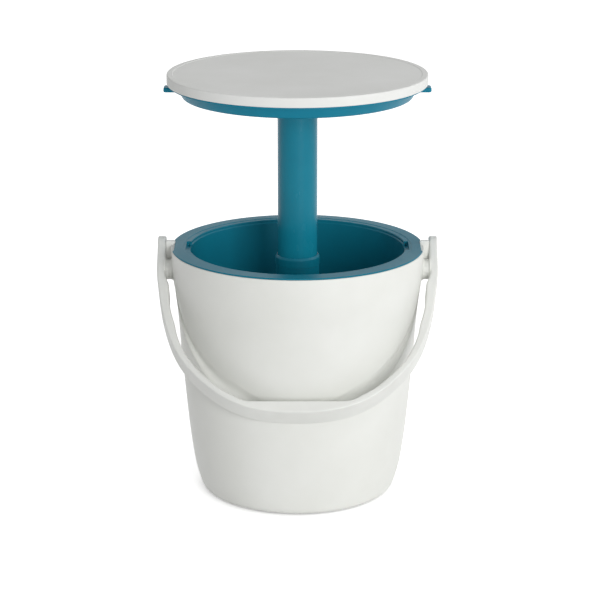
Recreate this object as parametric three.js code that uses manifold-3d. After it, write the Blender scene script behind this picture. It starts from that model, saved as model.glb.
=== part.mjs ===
// An ice bucket coffee table: a double-walled bucket, a round table top on a sliding column and a bail handle.
// Millimetres, +Z up. The origin is on the floor under the middle of the bucket, and the handle leans to -Y.
import * as THREE from "three";
import { mergeVertices } from "three/addons/utils/BufferGeometryUtils.js";
import Module from "manifold-3d";

const wasm = await Module();
wasm.setup();

// Fits
const seatGap = 0.3; // between parts that touch
const runningGap = 0.5; // between parts that slide or turn on each other
const cutOverrun = 5; // how far a cut runs past the face it opens

// Facets round a full circle
const bodyFacets = 48;
const tubeFacets = 24;
const smallFacets = 8;

// Bucket shell: the outline is [share of rimHeight, share of rimRadius], from the floor corner to the rim
const rimHeight = 336.5; // top face of the liner's flange
const rimRadius = 168.8;
const shellWall = 3;
const footStand = 0.8; // how far the feet hold the shell off the ground
const shellFloorShare = 0.7198; // radius of the flat floor, of rimRadius
const shellOutlineShares = [
  [0.006, 0.7494],
  [0.0166, 0.7713],
  [0.0475, 0.795],
  [0.104, 0.8252],
  [0.1664, 0.8466],
  [0.2645, 0.8715],
  [0.4487, 0.9064],
  [0.5646, 0.9277],
  [0.7013, 0.9473],
  [0.7727, 0.9597],
  [0.8172, 0.9727],
  [0.8588, 0.9846],
];
const bowlTaper = 0.1; // radius that the bowl loses to the collar for each unit below the ledge's start

// Carrying handle: the arch is [share of handleHalfSpan, share of handleDrop], from the ear to the grip
const armStandOff = 18.9; // from the rim to the arms' outer faces
const handleTilt = THREE.MathUtils.degToRad(47); // lean from hanging straight down to lying on the ledge
const strapWidth = 33;
const strapRound = 1.6;
const earThickness = 11.1;
const earRise = 49.8; // from the pivot to the ear's rounded end
const gripThickness = 17.5;
const gripGap = 1.48; // from the crease between the bowl and the ledge to the grip's inner face
const creaseSteps = 20; // rounds taken to find that crease
const archOuterShares = [
  [0.9998, 0.04],
  [0.9945, 0.105],
  [0.984, 0.171],
  [0.959, 0.305],
  [0.919, 0.4425],
  [0.864, 0.568],
  [0.786, 0.681],
  [0.641, 0.814],
  [0.492, 0.908],
  [0.338, 0.965],
  [0.16, 0.994],
];
const archInnerShares = [
  [0.926, 0.108],
  [0.9115, 0.14],
  [0.9065, 0.2],
  [0.903, 0.2545],
  [0.8865, 0.332],
  [0.8575, 0.42],
  [0.84, 0.488],
  [0.785, 0.604],
  [0.702, 0.705],
  [0.625, 0.771],
  [0.527, 0.8425],
  [0.44, 0.886],
];
const gripInnerHalfShare = 0.362; // half length of the grip's straight inner face, of handleHalfSpan

// Handle pivots and the blocks that guard them
const pivotDrop = 33.5; // from the rim to the pivots
const pinRadius = 6;
const pinHeadRim = 5; // how far the head reaches past the pin
const pinHeadThickness = 2.9;
const pinHeadDome = 0.8;
const pinHeadFaceShare = 0.8; // radius of the head's gently domed face, of pinHeadRadius
const hubWall = 7.5; // round the pin
const hubInnerLength = 6; // how far the hub stands into the cavity behind the shell
const bossLength = 4.1; // the handle's own boss, from the ear towards the hub
const bossFlare = 2.6;
const washerThickness = 1.1;
const clipThickness = 3;
const clipWidth = 4;
const pinTail = 2; // pin left beyond the clip
const lugHalfWidth = 14;
const lugHeight = 18.5;
const lugRise = 4; // how far the block stands above the flange
const lugGap = 3.4; // between the block and the ear
const lugSetIn = 3.6; // from the rim in to the block's inner face, just outside the flange's flat

// Liner
const flangeStepIn = 0.4; // how far the flange's edge stands inside the shell's rim
const flangeThickness = 1.8;
const flangeRound = 0.7;
const flatPadHeight = 8; // pads under the flange where its sides are cut flat
const flatPadThickness = 7;
const flatPadShares = [0.13, 0.2]; // half widths of the pad's thick and thin parts, of rimRadius
const flangeWidth = 16.5; // from the rim in to the step down to the land that the lid pan sits on
const dishDrop = 0.5;
const landWidth = 6.9;
const landRound = 1; // where the land rounds into the mouth
const mouthLip = 3; // height of the mouth's lip over the step to the wall
const mouthStep = 1.2;
const linerWall = 2.8;
const linerFloorHeight = 27; // inside face of the floor
const linerFloorInset = 1.5; // from the shell's flat floor
const linerCorner = 14;
const pocketCut = 4.4; // notch in each side of the land, outwards from the mouth
const pocketHalfWidth = 22;
const pocketDepth = 6;
const legRadius = 6;
const legInset = 35; // from the liner's floor edge in to the legs' middles
const padRim = 2; // how far the shell's pads reach past the legs
const padHeight = 3.2; // above the shell's floor

// Feet
const footRadius = 11;
const footInset = 18.5; // from the shell's floor edge in to the feet's middles
const footRecess = 1.7;

// Screws: one pattern, in three lengths
const screwRadius = 2;
const screwHeadRadius = 4.2;
const screwHeadHeight = 2.5;
const screwHeadRound = 0.8;
const screwCount = 4;
const holeGap = 0.3; // radial room round a screw
const bodyScrewTipRoom = 3.6; // hole left past the tip
const sleeveScrewTipRoom = 1.6;
const columnScrewTipRoom = 0.4;
const lidScrewLength = 14;

// Column
const columnRadius = 26.4;
const columnWall = 3;
const columnFootDrop = 91.5; // from the rim to the guide's lower end with the table raised
const columnHeadWidth = 15.6;
const columnHeadThickness = 3;
const columnScrewInset = 7; // from the head's edge

// Guide on the column's lower end
const guideHeight = 17;
const guideSkirt = 1.5;
const guideFloor = 3;
const guidePlug = 12; // how far the plug stands into the column
const guidePlugWall = 3;
const keyWidth = 5.4;
const keyRise = 1.1;

// Centre sleeve, its collar and its seal
const sleeveWall = 2.1;
const sleeveBaseWall = 3.3; // below the step in the bore
const sleeveTaper = 10; // height over which it narrows above the step
const sleeveDrop = 19.5; // from the rim to the sleeve's top
const spigotHeight = 6;
const spigotStep = 0.9;
const sleeveFootWidth = 12;
const sleeveFootThickness = 6;
const sleeveScrewInset = 6; // from the foot's edge
const gasketThickness = 1.2;
const gasketWidth = 11;
const collarStep = 0.5; // how far the collar reaches past the sleeve
const collarRise = 8.3; // from the sleeve's top to the collar's inner lip
const collarFall = 3.4; // from the lip to the shoulder's edge
const collarLip = 0.8;
const gripRingHeight = 2.6;
const gripRingDepth = 1.2;

// Table top
const tableHeight = 570;
const tableOverhang = 2.6; // past the bucket's rim
const tableRimDepth = 14.5;
const tableRound = 2;
const tableWall = 3.2;
const deckThickness = 3;
const borderWidth = 8;
const borderRise = 0.6;
const rimRibInset = 7.4; // from the table's edge
const rimRibWall = 2.5;
const lidBossRadius = 5;
const lidScrewInset = 31; // from the pan's floor edge

// Lid pan
const panDepth = 15.5; // below the table top's rim
const panCorner = 1.6;
const panShoulderInset = 12.9; // from the table's edge
const panSlope = 7.5; // how far the pan's floor edge stands inside its shoulder
const panShoulderDepth = 2.5; // below the table top's rim
const panWall = 2.5;
const panInset = 0.5; // how far the pan's flange sits up inside the rim
const panHubRim = 4; // how far the hub reaches past the column's head
const panHubHeight = 6;
const panBossHeight = 3.5;
const socketDepth = 7;
const socketWall = 1.2;
const socketFlare = 2.4;
const tabStandOut = 4.2; // past the table's edge
const tabHalfWidth = 11;
const tabThickness = 5;
const tabDrop = 5.2; // from the table top's rim to the tab's upper face
const tabRound = 3.5;

// Heights and radii that follow
const handleHalfSpan = rimRadius + armStandOff;
const pivotHeight = rimHeight - pivotDrop;
const pinHeadRadius = pinRadius + pinHeadRim;
const hubRadius = pinRadius + hubWall;
const clipRadius = pinRadius + clipWidth;
const lugInner = rimRadius - lugSetIn;
const shellFloorRadius = shellFloorShare * rimRadius;
const footRing = shellFloorRadius - footInset;
const dishRadius = rimRadius - flangeWidth;
const landRadius = dishRadius - landWidth;
const mouthRadius = landRadius - landRound;
const pocketReach = mouthRadius + pocketCut;
const linerFloorRadius = shellFloorRadius - linerFloorInset;
const legRing = linerFloorRadius - legInset;
const padRadius = legRadius + padRim;
const columnFoot = rimHeight - columnFootDrop;
const columnHeadRadius = columnRadius + columnHeadWidth;
const columnScrewRing = columnHeadRadius - columnScrewInset;
const tableRadius = rimRadius + tableOverhang;
const rimRibRadius = tableRadius - rimRibInset;
const panShoulderRadius = tableRadius - panShoulderInset;
const panFloorRadius = panShoulderRadius - panSlope;
const panHubRadius = columnHeadRadius + panHubRim;
const tabReach = tableRadius + tabStandOut;
const lidScrewRing = panFloorRadius - lidScrewInset;
const shellTop = rimHeight - flangeThickness - seatGap;
const earInner = handleHalfSpan - earThickness;
const lugReach = earInner - lugGap;
const bossReach = earInner - bossLength;
const hubReach = bossReach - 2 * seatGap - washerThickness;
const ledgeOffset = strapWidth / 2 + runningGap; // from the handle's middle plane to the ledge
const ledgeStart = pivotHeight - ledgeOffset / Math.sin(handleTilt);
const flangeRadius = rimRadius - flangeStepIn;
const flangeFlatReach = lugInner - seatGap;
const landHeight = rimHeight - dishDrop;
const linerUnderside = linerFloorHeight - linerWall;
const shellFloorTop = footStand + shellWall;
const padTop = shellFloorTop + padHeight;
const tableRimBottom = tableHeight - tableRimDepth;
const deckTop = tableHeight - borderRise;
const deckUnderside = deckTop - deckThickness;
const panBottom = tableRimBottom - panDepth;
const panFloorTop = panBottom + panWall;
const panHubTop = panBottom + panHubHeight;
const panBossTop = panFloorTop + panBossHeight;
const panFlangeRadius = tableRadius - tableWall - seatGap;
const panFlangeBottom = tableRimBottom + panInset;
const panFlangeTop = panFlangeBottom + panWall;
const columnHeadBottom = panHubTop + seatGap;
const columnHeadTop = columnHeadBottom + columnHeadThickness;
const columnBottom = columnFoot + guideFloor + seatGap;
const guideTop = columnFoot + guideHeight;
const guideInner = columnRadius + seatGap;
const guideRadius = guideInner + guideSkirt;
const upperBore = columnRadius + runningGap;
const lowerBore = guideRadius + runningGap;
const sleeveRadius = upperBore + sleeveWall;
const sleeveBaseRadius = lowerBore + sleeveBaseWall;
const sleeveFootRadius = sleeveBaseRadius + sleeveFootWidth;
const sleeveScrewRing = sleeveFootRadius - sleeveScrewInset;
const sleeveTop = rimHeight - sleeveDrop;
const collarRadius = sleeveRadius + collarStep;
const collarTop = sleeveTop + collarRise;
const boreStep = guideTop + seatGap;
const gasketBottom = linerFloorHeight + seatGap;
const sleeveFootBottom = gasketBottom + gasketThickness + seatGap;
const sleeveFootTop = sleeveFootBottom + sleeveFootThickness;
const legHoleTop = linerUnderside - screwRadius;
const bodyScrewSeat = footStand + seatGap + screwHeadHeight;
const bodyScrewLength = legHoleTop - bodyScrewTipRoom - bodyScrewSeat;
const sleeveHoleTop = sleeveFootTop - screwHeadRound;
const sleeveScrewSeat = linerUnderside - seatGap;
const sleeveScrewLength = sleeveHoleTop - sleeveScrewTipRoom - sleeveScrewSeat;
const columnHoleBottom = panBottom + screwRadius / 2;
const columnScrewSeat = columnHeadTop + seatGap;
const columnScrewLength = columnScrewSeat - columnHoleBottom - columnScrewTipRoom;
const spigotBottom = sleeveTop - spigotHeight;
const spigotRadius = sleeveRadius - spigotStep;

// Finishes
const whitePlastic = { color: 0xe9e9e5, roughness: 0.5, metalness: 0 };
const tealPlastic = { color: 0x27788f, roughness: 0.35, metalness: 0 };
const nylon = { color: 0xd8d4c8, roughness: 0.6, metalness: 0 };
const rubber = { color: 0x2b2e30, roughness: 0.9, metalness: 0 };
const steel = { color: 0xa4a7aa, roughness: 0.35, metalness: 1 };

function toSolid(geometry) {
  const bare = geometry.index ? geometry.clone() : geometry;
  bare.deleteAttribute("normal");
  bare.deleteAttribute("uv");
  const merged = mergeVertices(bare);
  return new wasm.Manifold(
    new wasm.Mesh({
      numProp: 3,
      vertProperties: new Float32Array(merged.attributes.position.array),
      triVerts: new Uint32Array(merged.index.array),
    }),
  );
}

function toGeometry(solid) {
  const mesh = solid.getMesh();
  const geometry = new THREE.BufferGeometry();
  geometry.setAttribute("position", new THREE.BufferAttribute(new Float32Array(mesh.vertProperties), mesh.numProp));
  geometry.setIndex(new THREE.BufferAttribute(new Uint32Array(mesh.triVerts), 1));
  geometry.computeVertexNormals();
  return geometry;
}

// A closed outline of [radius, height] points, turned about +Z. The outline runs up its outer side.
function revolve(outline, facets) {
  const points = outline.map(([radius, height]) => new THREE.Vector2(radius, height));
  const closed = outline[0][0] > 0;
  if (closed) points.push(points[0].clone());
  return new THREE.LatheGeometry(points, facets).rotateX(Math.PI / 2);
}

function cylinderAt(radius, bottom, top, x, y, facets = smallFacets) {
  const outline = [
    [0, bottom],
    [radius, bottom],
    [radius, top],
    [0, top],
  ];
  return toSolid(revolve(outline, facets).translate(x, y, 0));
}

// A cylinder along X between two places, centred on the pivots' height or on a height of its own
function crossCylinder(radius, from, to, height, facets = tubeFacets) {
  const geometry = new THREE.CylinderGeometry(radius, radius, Math.abs(to - from), facets);
  return toSolid(geometry.rotateZ(Math.PI / 2).translate((from + to) / 2, 0, height));
}

function boxBetween(low, high) {
  const size = high.map((value, axis) => value - low[axis]);
  const geometry = new THREE.BoxGeometry(...size);
  return toSolid(geometry.translate(...low.map((value, axis) => value + size[axis] / 2)));
}

function placesOnRing(radius, count = screwCount) {
  const places = [];
  for (let i = 0; i < count; i += 1) {
    const angle = ((i + 0.5) / count) * 2 * Math.PI;
    places.push([radius * Math.cos(angle), radius * Math.sin(angle)]);
  }
  return places;
}

// Quarter-circle points about a centre, from one angle to another in right-angle turns
function cornerPoints(centreRadius, centreHeight, round, fromTurn, toTurn, steps = 3) {
  const points = [];
  for (let i = 0; i <= steps; i += 1) {
    const angle = (fromTurn + ((toTurn - fromTurn) * i) / steps) * (Math.PI / 2);
    points.push([centreRadius + round * Math.cos(angle), centreHeight + round * Math.sin(angle)]);
  }
  return points;
}

function addPiece(group, name, geometry, finish) {
  const mesh = new THREE.Mesh(geometry, new THREE.MeshStandardMaterial(finish));
  mesh.name = name;
  group.add(mesh);
  return mesh;
}

const shellOutline = [
  [footStand, shellFloorRadius],
  ...shellOutlineShares.map(([up, out]) => [up * rimHeight, out * rimRadius]),
  [shellTop, rimRadius],
];

function shellRadius(height) {
  const upper = shellOutline.findIndex(([z]) => z >= height);
  if (upper < 0) return rimRadius;
  if (upper === 0) return shellFloorRadius;
  const [z0, r0] = shellOutline[upper - 1];
  const [z1, r1] = shellOutline[upper];
  return r0 + ((r1 - r0) * (height - z0)) / (z1 - z0);
}

function bowlRadius(height) {
  return shellRadius(height) - bowlTaper * (ledgeStart - height);
}

// How far down the handle, from its pivots, the crease between the bowl and the ledge lies
function creaseDrop() {
  let height = ledgeStart;
  for (let i = 0; i < creaseSteps; i += 1) {
    height = ledgeStart - bowlRadius(height) / Math.tan(handleTilt);
  }
  return bowlRadius(height) * Math.sin(handleTilt) + (pivotHeight - height) * Math.cos(handleTilt);
}

const gripInnerDrop = creaseDrop() + gripGap;
const handleDrop = gripInnerDrop + gripThickness; // from the pivots to the grip's outer face

// The bucket's full form drawn in by an inset: the collar's outline, cut back above the ledge to the bowl
function bucketForm(inset, top, rowStep) {
  const bottom = footStand + inset;
  const allRows = shellOutline.map(([z]) => z).filter((z) => z > bottom && z < top);
  const rows = allRows.filter((z, i) => i % rowStep === 0);
  const heights = [bottom, ...rows, top];
  const collar = [[0, bottom], ...heights.map((z) => [shellRadius(z) - inset, z]), [0, top]];
  const bowlBottom = ledgeStart - rimRadius;
  const bowlHeights = [bowlBottom, ...rows.filter((z) => z > bowlBottom), top + cutOverrun];
  const bowl = [[0, bowlBottom], ...bowlHeights.map((z) => [bowlRadius(z) - inset, z]), [0, top + cutOverrun]];
  const reach = 4 * rimRadius;
  const aboveLedge = new THREE.BoxGeometry(reach, reach, reach).translate(0, 0, reach / 2);
  aboveLedge.rotateX(Math.PI / 2 - handleTilt).translate(0, 0, ledgeStart - inset / Math.sin(handleTilt));
  const aroundBowl = toSolid(aboveLedge).subtract(toSolid(revolve(bowl, bodyFacets)));
  return toSolid(revolve(collar, bodyFacets)).subtract(aroundBowl);
}

function outerShell() {
  let shell = bucketForm(0, shellTop, 1).subtract(bucketForm(shellWall, shellTop + cutOverrun, 2));
  const hubInner = shellRadius(pivotHeight) - shellWall - hubInnerLength;
  for (const side of [-1, 1]) {
    const lugEnds = [side * lugInner, side * lugReach].sort((a, b) => a - b);
    const lugTop = rimHeight + lugRise;
    const lugLow = [lugEnds[0], -lugHalfWidth, lugTop - lugHeight];
    shell = shell.add(boxBetween(lugLow, [lugEnds[1], lugHalfWidth, lugTop]));
    const padReaches = [rimRadius - shellWall / 2, lugInner - shellWall / 2];
    flatPadShares.forEach((share, i) => {
      const padEnds = [side * (lugInner - flatPadThickness), side * padReaches[i]].sort((a, b) => a - b);
      const padLow = [padEnds[0], -share * rimRadius, shellTop - flatPadHeight];
      shell = shell.add(boxBetween(padLow, [padEnds[1], share * rimRadius, shellTop]));
    });
    shell = shell.add(crossCylinder(hubRadius, side * hubInner, side * hubReach, pivotHeight));
    const boreEnds = [side * (hubInner - cutOverrun), side * (hubReach + cutOverrun)];
    shell = shell.subtract(crossCylinder(pinRadius + holeGap, boreEnds[0], boreEnds[1], pivotHeight));
  }
  const sinkTop = footStand + screwHeadHeight + 2 * seatGap;
  for (const [x, y] of placesOnRing(legRing)) {
    shell = shell.add(cylinderAt(padRadius, footStand, padTop, x, y));
    shell = shell.subtract(cylinderAt(screwRadius + holeGap, footStand, padTop + cutOverrun, x, y));
    shell = shell.subtract(cylinderAt(screwHeadRadius + holeGap, footStand - cutOverrun, sinkTop, x, y));
  }
  for (const [x, y] of placesOnRing(footRing)) {
    const recessTop = footStand + footRecess;
    shell = shell.subtract(cylinderAt(footRadius + holeGap, -cutOverrun, recessTop, x, y, tubeFacets));
  }
  return shell;
}

function innerLiner() {
  const flangeUnderside = rimHeight - flangeThickness;
  const wallRadius = mouthRadius - mouthStep;
  const stepTop = landHeight - mouthLip;
  const landUnderside = landHeight - flangeThickness;
  const cornerCentre = linerFloorRadius - linerCorner;
  const outline = [
    [0, linerUnderside],
    ...cornerPoints(cornerCentre, linerFloorHeight + linerCorner, linerCorner + linerWall, -1, 0, 4),
    [wallRadius + linerWall, stepTop - linerWall],
    [mouthRadius + linerWall, landUnderside],
    [dishRadius, landUnderside],
    [dishRadius + dishDrop, flangeUnderside],
    [flangeRadius, flangeUnderside],
    ...cornerPoints(flangeRadius - flangeRound, rimHeight - flangeRound, flangeRound, 0, 1, 2),
    [dishRadius, rimHeight],
    [dishRadius - dishDrop / 2, landHeight],
    ...cornerPoints(landRadius, landHeight - landRound, landRound, 1, 2, 2),
    [mouthRadius, stepTop],
    [wallRadius, stepTop - mouthStep],
    ...cornerPoints(cornerCentre, linerFloorHeight + linerCorner, linerCorner, 0, -1, 4),
    [0, linerFloorHeight],
  ];
  let liner = toSolid(revolve(outline, bodyFacets));
  const pocketFloor = rimHeight - pocketDepth;
  for (const side of [-1, 1]) {
    const wallEnds = [side * (mouthRadius + linerWall / 2), side * (pocketReach + linerWall)].sort((a, b) => a - b);
    const wallHalf = pocketHalfWidth + linerWall;
    const wallLow = [wallEnds[0], -wallHalf, pocketFloor - linerWall];
    liner = liner.add(boxBetween(wallLow, [wallEnds[1], wallHalf, landUnderside + flangeThickness / 2]));
    const pocketEnds = [side * (mouthRadius - cutOverrun), side * pocketReach].sort((a, b) => a - b);
    const pocketLow = [pocketEnds[0], -pocketHalfWidth, pocketFloor];
    liner = liner.subtract(boxBetween(pocketLow, [pocketEnds[1], pocketHalfWidth, rimHeight + cutOverrun]));
    const flatEnds = [side * flangeFlatReach, side * (flangeRadius + cutOverrun)].sort((a, b) => a - b);
    const flatLow = [flatEnds[0], -rimRadius, landUnderside - cutOverrun];
    liner = liner.subtract(boxBetween(flatLow, [flatEnds[1], rimRadius, rimHeight + cutOverrun]));
  }
  for (const [x, y] of placesOnRing(legRing)) {
    const legBottom = padTop + seatGap;
    liner = liner.add(cylinderAt(legRadius, legBottom, linerUnderside + linerWall / 2, x, y));
    liner = liner.subtract(cylinderAt(screwRadius + holeGap, legBottom - cutOverrun, legHoleTop, x, y));
  }
  for (const [x, y] of placesOnRing(sleeveScrewRing)) {
    const holeEnds = [linerUnderside - cutOverrun, linerFloorHeight + cutOverrun];
    liner = liner.subtract(cylinderAt(screwRadius + holeGap, holeEnds[0], holeEnds[1], x, y));
  }
  return liner;
}

function centreSleeve() {
  const outline = [
    [lowerBore, sleeveFootBottom],
    [sleeveFootRadius, sleeveFootBottom],
    [sleeveFootRadius, sleeveFootTop],
    [sleeveBaseRadius, sleeveFootTop],
    [sleeveBaseRadius, boreStep],
    [sleeveRadius, boreStep + sleeveTaper],
    [sleeveRadius, spigotBottom],
    [spigotRadius, spigotBottom],
    [spigotRadius, sleeveTop],
    [upperBore, sleeveTop],
    [upperBore, boreStep],
    [lowerBore, boreStep],
  ];
  let sleeve = toSolid(revolve(outline, tubeFacets));
  const keywayHalf = keyWidth / 2 + holeGap;
  const keywayReach = guideRadius + keyRise + runningGap / 2;
  for (const side of [-1, 1]) {
    const ends = [side * (lowerBore - cutOverrun), side * keywayReach].sort((a, b) => a - b);
    const low = [-keywayHalf, ends[0], sleeveFootBottom - cutOverrun];
    sleeve = sleeve.subtract(boxBetween(low, [keywayHalf, ends[1], boreStep]));
  }
  for (const [x, y] of placesOnRing(sleeveScrewRing)) {
    const holeBottom = sleeveFootBottom - cutOverrun;
    sleeve = sleeve.subtract(cylinderAt(screwRadius + holeGap, holeBottom, sleeveHoleTop, x, y));
  }
  return sleeve;
}

function sleeveGasket() {
  const outline = [
    [sleeveFootRadius - gasketWidth, gasketBottom],
    [sleeveFootRadius, gasketBottom],
    [sleeveFootRadius, gasketBottom + gasketThickness],
    [sleeveFootRadius - gasketWidth, gasketBottom + gasketThickness],
  ];
  let gasket = toSolid(revolve(outline, tubeFacets));
  for (const [x, y] of placesOnRing(sleeveScrewRing)) {
    const holeEnds = [gasketBottom - cutOverrun, gasketBottom + cutOverrun];
    gasket = gasket.subtract(cylinderAt(screwRadius + holeGap, holeEnds[0], holeEnds[1], x, y));
  }
  return gasket;
}

const gripGrooveBottom = sleeveTop + 2 * seatGap;
const gripGrooveTop = gripGrooveBottom + gripRingHeight + 2 * seatGap;

function sleeveCollar() {
  const skirtInner = spigotRadius + seatGap;
  const grooveRadius = upperBore + gripRingDepth + seatGap;
  const outline = [
    [skirtInner, spigotBottom + seatGap],
    [collarRadius, spigotBottom + seatGap],
    [collarRadius, collarTop - collarFall - collarLip],
    [collarRadius - collarLip, collarTop - collarFall],
    [upperBore + collarLip, collarTop],
    [upperBore, collarTop],
    [upperBore, gripGrooveTop],
    [grooveRadius, gripGrooveTop],
    [grooveRadius, gripGrooveBottom],
    [upperBore, gripGrooveBottom],
    [upperBore, sleeveTop + seatGap],
    [skirtInner, sleeveTop + seatGap],
  ];
  return revolve(outline, tubeFacets);
}

function gripRing() {
  const bottom = gripGrooveBottom + seatGap;
  const inner = columnRadius + seatGap;
  const outer = upperBore + gripRingDepth;
  const outline = [
    [inner, bottom],
    [outer, bottom],
    [outer, bottom + gripRingHeight],
    [inner, bottom + gripRingHeight],
  ];
  return revolve(outline, tubeFacets);
}

function rubberFoot() {
  const height = footStand + footRecess - seatGap;
  const outline = [
    [0, 0],
    [footRadius - seatGap, 0],
    [footRadius, seatGap],
    [footRadius, height],
    [0, height],
  ];
  return revolve(outline, tubeFacets);
}

// A screw standing on its head, with its head's underside at the origin
function screw(length) {
  const outline = [
    [0, -screwHeadHeight],
    [screwHeadRadius - screwHeadRound, -screwHeadHeight],
    [screwHeadRadius, screwHeadRound - screwHeadHeight],
    [screwHeadRadius, 0],
    [screwRadius, 0],
    [screwRadius, length - screwRadius],
    [0, length],
  ];
  return revolve(outline, smallFacets);
}

function columnTube() {
  const inner = columnRadius - columnWall;
  const outline = [
    [inner, columnBottom],
    [columnRadius, columnBottom],
    [columnRadius, columnHeadBottom],
    [columnHeadRadius, columnHeadBottom],
    [columnHeadRadius, columnHeadTop],
    [inner, columnHeadTop],
  ];
  let column = toSolid(revolve(outline, tubeFacets));
  for (const [x, y] of placesOnRing(columnScrewRing)) {
    const holeEnds = [columnHeadBottom - cutOverrun, columnHeadTop + cutOverrun];
    column = column.subtract(cylinderAt(screwRadius + holeGap, holeEnds[0], holeEnds[1], x, y));
  }
  return column;
}

function columnGuide() {
  const plugRadius = columnRadius - columnWall - seatGap;
  const plugTop = columnFoot + guideFloor + guidePlug;
  const outline = [
    [0, columnFoot],
    [guideRadius, columnFoot],
    [guideRadius, guideTop],
    [guideInner, guideTop],
    [guideInner, columnFoot + guideFloor],
    [plugRadius, columnFoot + guideFloor],
    [plugRadius, plugTop],
    [plugRadius - guidePlugWall, plugTop],
    [plugRadius - guidePlugWall, columnFoot + guideFloor],
    [0, columnFoot + guideFloor],
  ];
  let guide = toSolid(revolve(outline, tubeFacets));
  for (const side of [-1, 1]) {
    const keyInner = guideRadius - guideSkirt / 2;
    const ends = [side * keyInner, side * (guideRadius + keyRise)].sort((a, b) => a - b);
    const low = [-keyWidth / 2, ends[0], columnFoot];
    guide = guide.add(boxBetween(low, [keyWidth / 2, ends[1], guideTop]));
  }
  return guide;
}

function tableTop() {
  const rimInner = tableRadius - tableWall;
  const borderInner = tableRadius - borderWidth;
  const outline = [
    [0, deckUnderside],
    [rimInner, deckUnderside],
    [rimInner, tableRimBottom],
    [tableRadius - tableRound / 2, tableRimBottom],
    [tableRadius, tableRimBottom + tableRound / 2],
    ...cornerPoints(tableRadius - tableRound, tableHeight - tableRound, tableRound, 0, 1, 2),
    [borderInner + borderRise, tableHeight],
    [borderInner, deckTop],
    [0, deckTop],
  ];
  const ribOutline = [
    [rimRibRadius - rimRibWall, panFlangeTop + seatGap],
    [rimRibRadius, panFlangeTop + seatGap],
    [rimRibRadius, deckUnderside + deckThickness / 2],
    [rimRibRadius - rimRibWall, deckUnderside + deckThickness / 2],
  ];
  let top = toSolid(revolve(outline, bodyFacets)).add(toSolid(revolve(ribOutline, bodyFacets)));
  for (const [x, y] of placesOnRing(lidScrewRing)) {
    const bossBottom = panBossTop + seatGap;
    top = top.add(cylinderAt(lidBossRadius, bossBottom, deckUnderside + deckThickness / 2, x, y));
    const holeTop = deckUnderside - screwRadius;
    top = top.subtract(cylinderAt(screwRadius + holeGap, bossBottom - cutOverrun, holeTop, x, y));
  }
  return top;
}

function tabOutline(side) {
  const shape = new THREE.Shape();
  const inner = side * (panFloorRadius - panWall / 2);
  const outer = side * tabReach;
  const bend = side * (tabReach - tabRound);
  shape.moveTo(inner, -tabHalfWidth);
  shape.lineTo(bend, -tabHalfWidth);
  shape.quadraticCurveTo(outer, -tabHalfWidth, outer, tabRound - tabHalfWidth);
  shape.lineTo(outer, tabHalfWidth - tabRound);
  shape.quadraticCurveTo(outer, tabHalfWidth, bend, tabHalfWidth);
  shape.lineTo(inner, tabHalfWidth);
  shape.closePath();
  return shape;
}

function lidPan() {
  const socketInner = columnRadius + seatGap;
  const socketOuter = socketInner + socketWall;
  const shoulderHeight = tableRimBottom - panShoulderDepth;
  const outline = [
    [socketInner, panBottom - socketDepth],
    [socketOuter, panBottom - socketDepth],
    [socketOuter + socketFlare / 4, panBottom - socketDepth / 2],
    [socketOuter + socketFlare, panBottom],
    [panFloorRadius - panCorner, panBottom],
    [panFloorRadius, panBottom + panCorner],
    [panShoulderRadius, shoulderHeight],
    [panShoulderRadius + panShoulderDepth, panFlangeBottom],
    [panFlangeRadius, panFlangeBottom],
    [panFlangeRadius, panFlangeTop],
    [panShoulderRadius + panShoulderDepth - panWall, panFlangeTop],
    [panShoulderRadius - panWall, shoulderHeight + panWall],
    [panFloorRadius - panWall, panFloorTop + panCorner],
    [panFloorRadius - panWall - panCorner, panFloorTop],
    [panHubRadius, panFloorTop],
    [panHubRadius, panHubTop],
    [socketInner, panHubTop],
  ];
  let pan = toSolid(revolve(outline, bodyFacets));
  const inside = [
    [0, panFloorTop],
    [panFloorRadius - panWall - panCorner, panFloorTop],
    [panFloorRadius - panWall, panFloorTop + panCorner],
    [panShoulderRadius - panWall, shoulderHeight + panWall],
    [0, shoulderHeight + panWall],
  ];
  const tabTop = tableRimBottom - tabDrop;
  for (const side of [-1, 1]) {
    const tab = new THREE.ExtrudeGeometry(tabOutline(side), { depth: tabThickness, bevelEnabled: false });
    const tabSolid = toSolid(tab.translate(0, 0, tabTop - tabThickness));
    pan = pan.add(tabSolid.subtract(toSolid(revolve(inside, bodyFacets))));
  }
  for (const [x, y] of placesOnRing(columnScrewRing)) {
    const holeEnds = [columnHoleBottom, panHubTop + cutOverrun];
    pan = pan.subtract(cylinderAt(screwRadius + holeGap, holeEnds[0], holeEnds[1], x, y));
  }
  const sinkTop = panBottom + screwHeadHeight + 2 * seatGap;
  for (const [x, y] of placesOnRing(lidScrewRing)) {
    pan = pan.add(cylinderAt(screwHeadRadius + panWall, panBottom, panBossTop, x, y));
    pan = pan.subtract(cylinderAt(screwRadius + holeGap, panBottom, panBossTop + cutOverrun, x, y));
    pan = pan.subtract(cylinderAt(screwHeadRadius + holeGap, panBottom - cutOverrun, sinkTop, x, y));
  }
  return pan;
}

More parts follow.
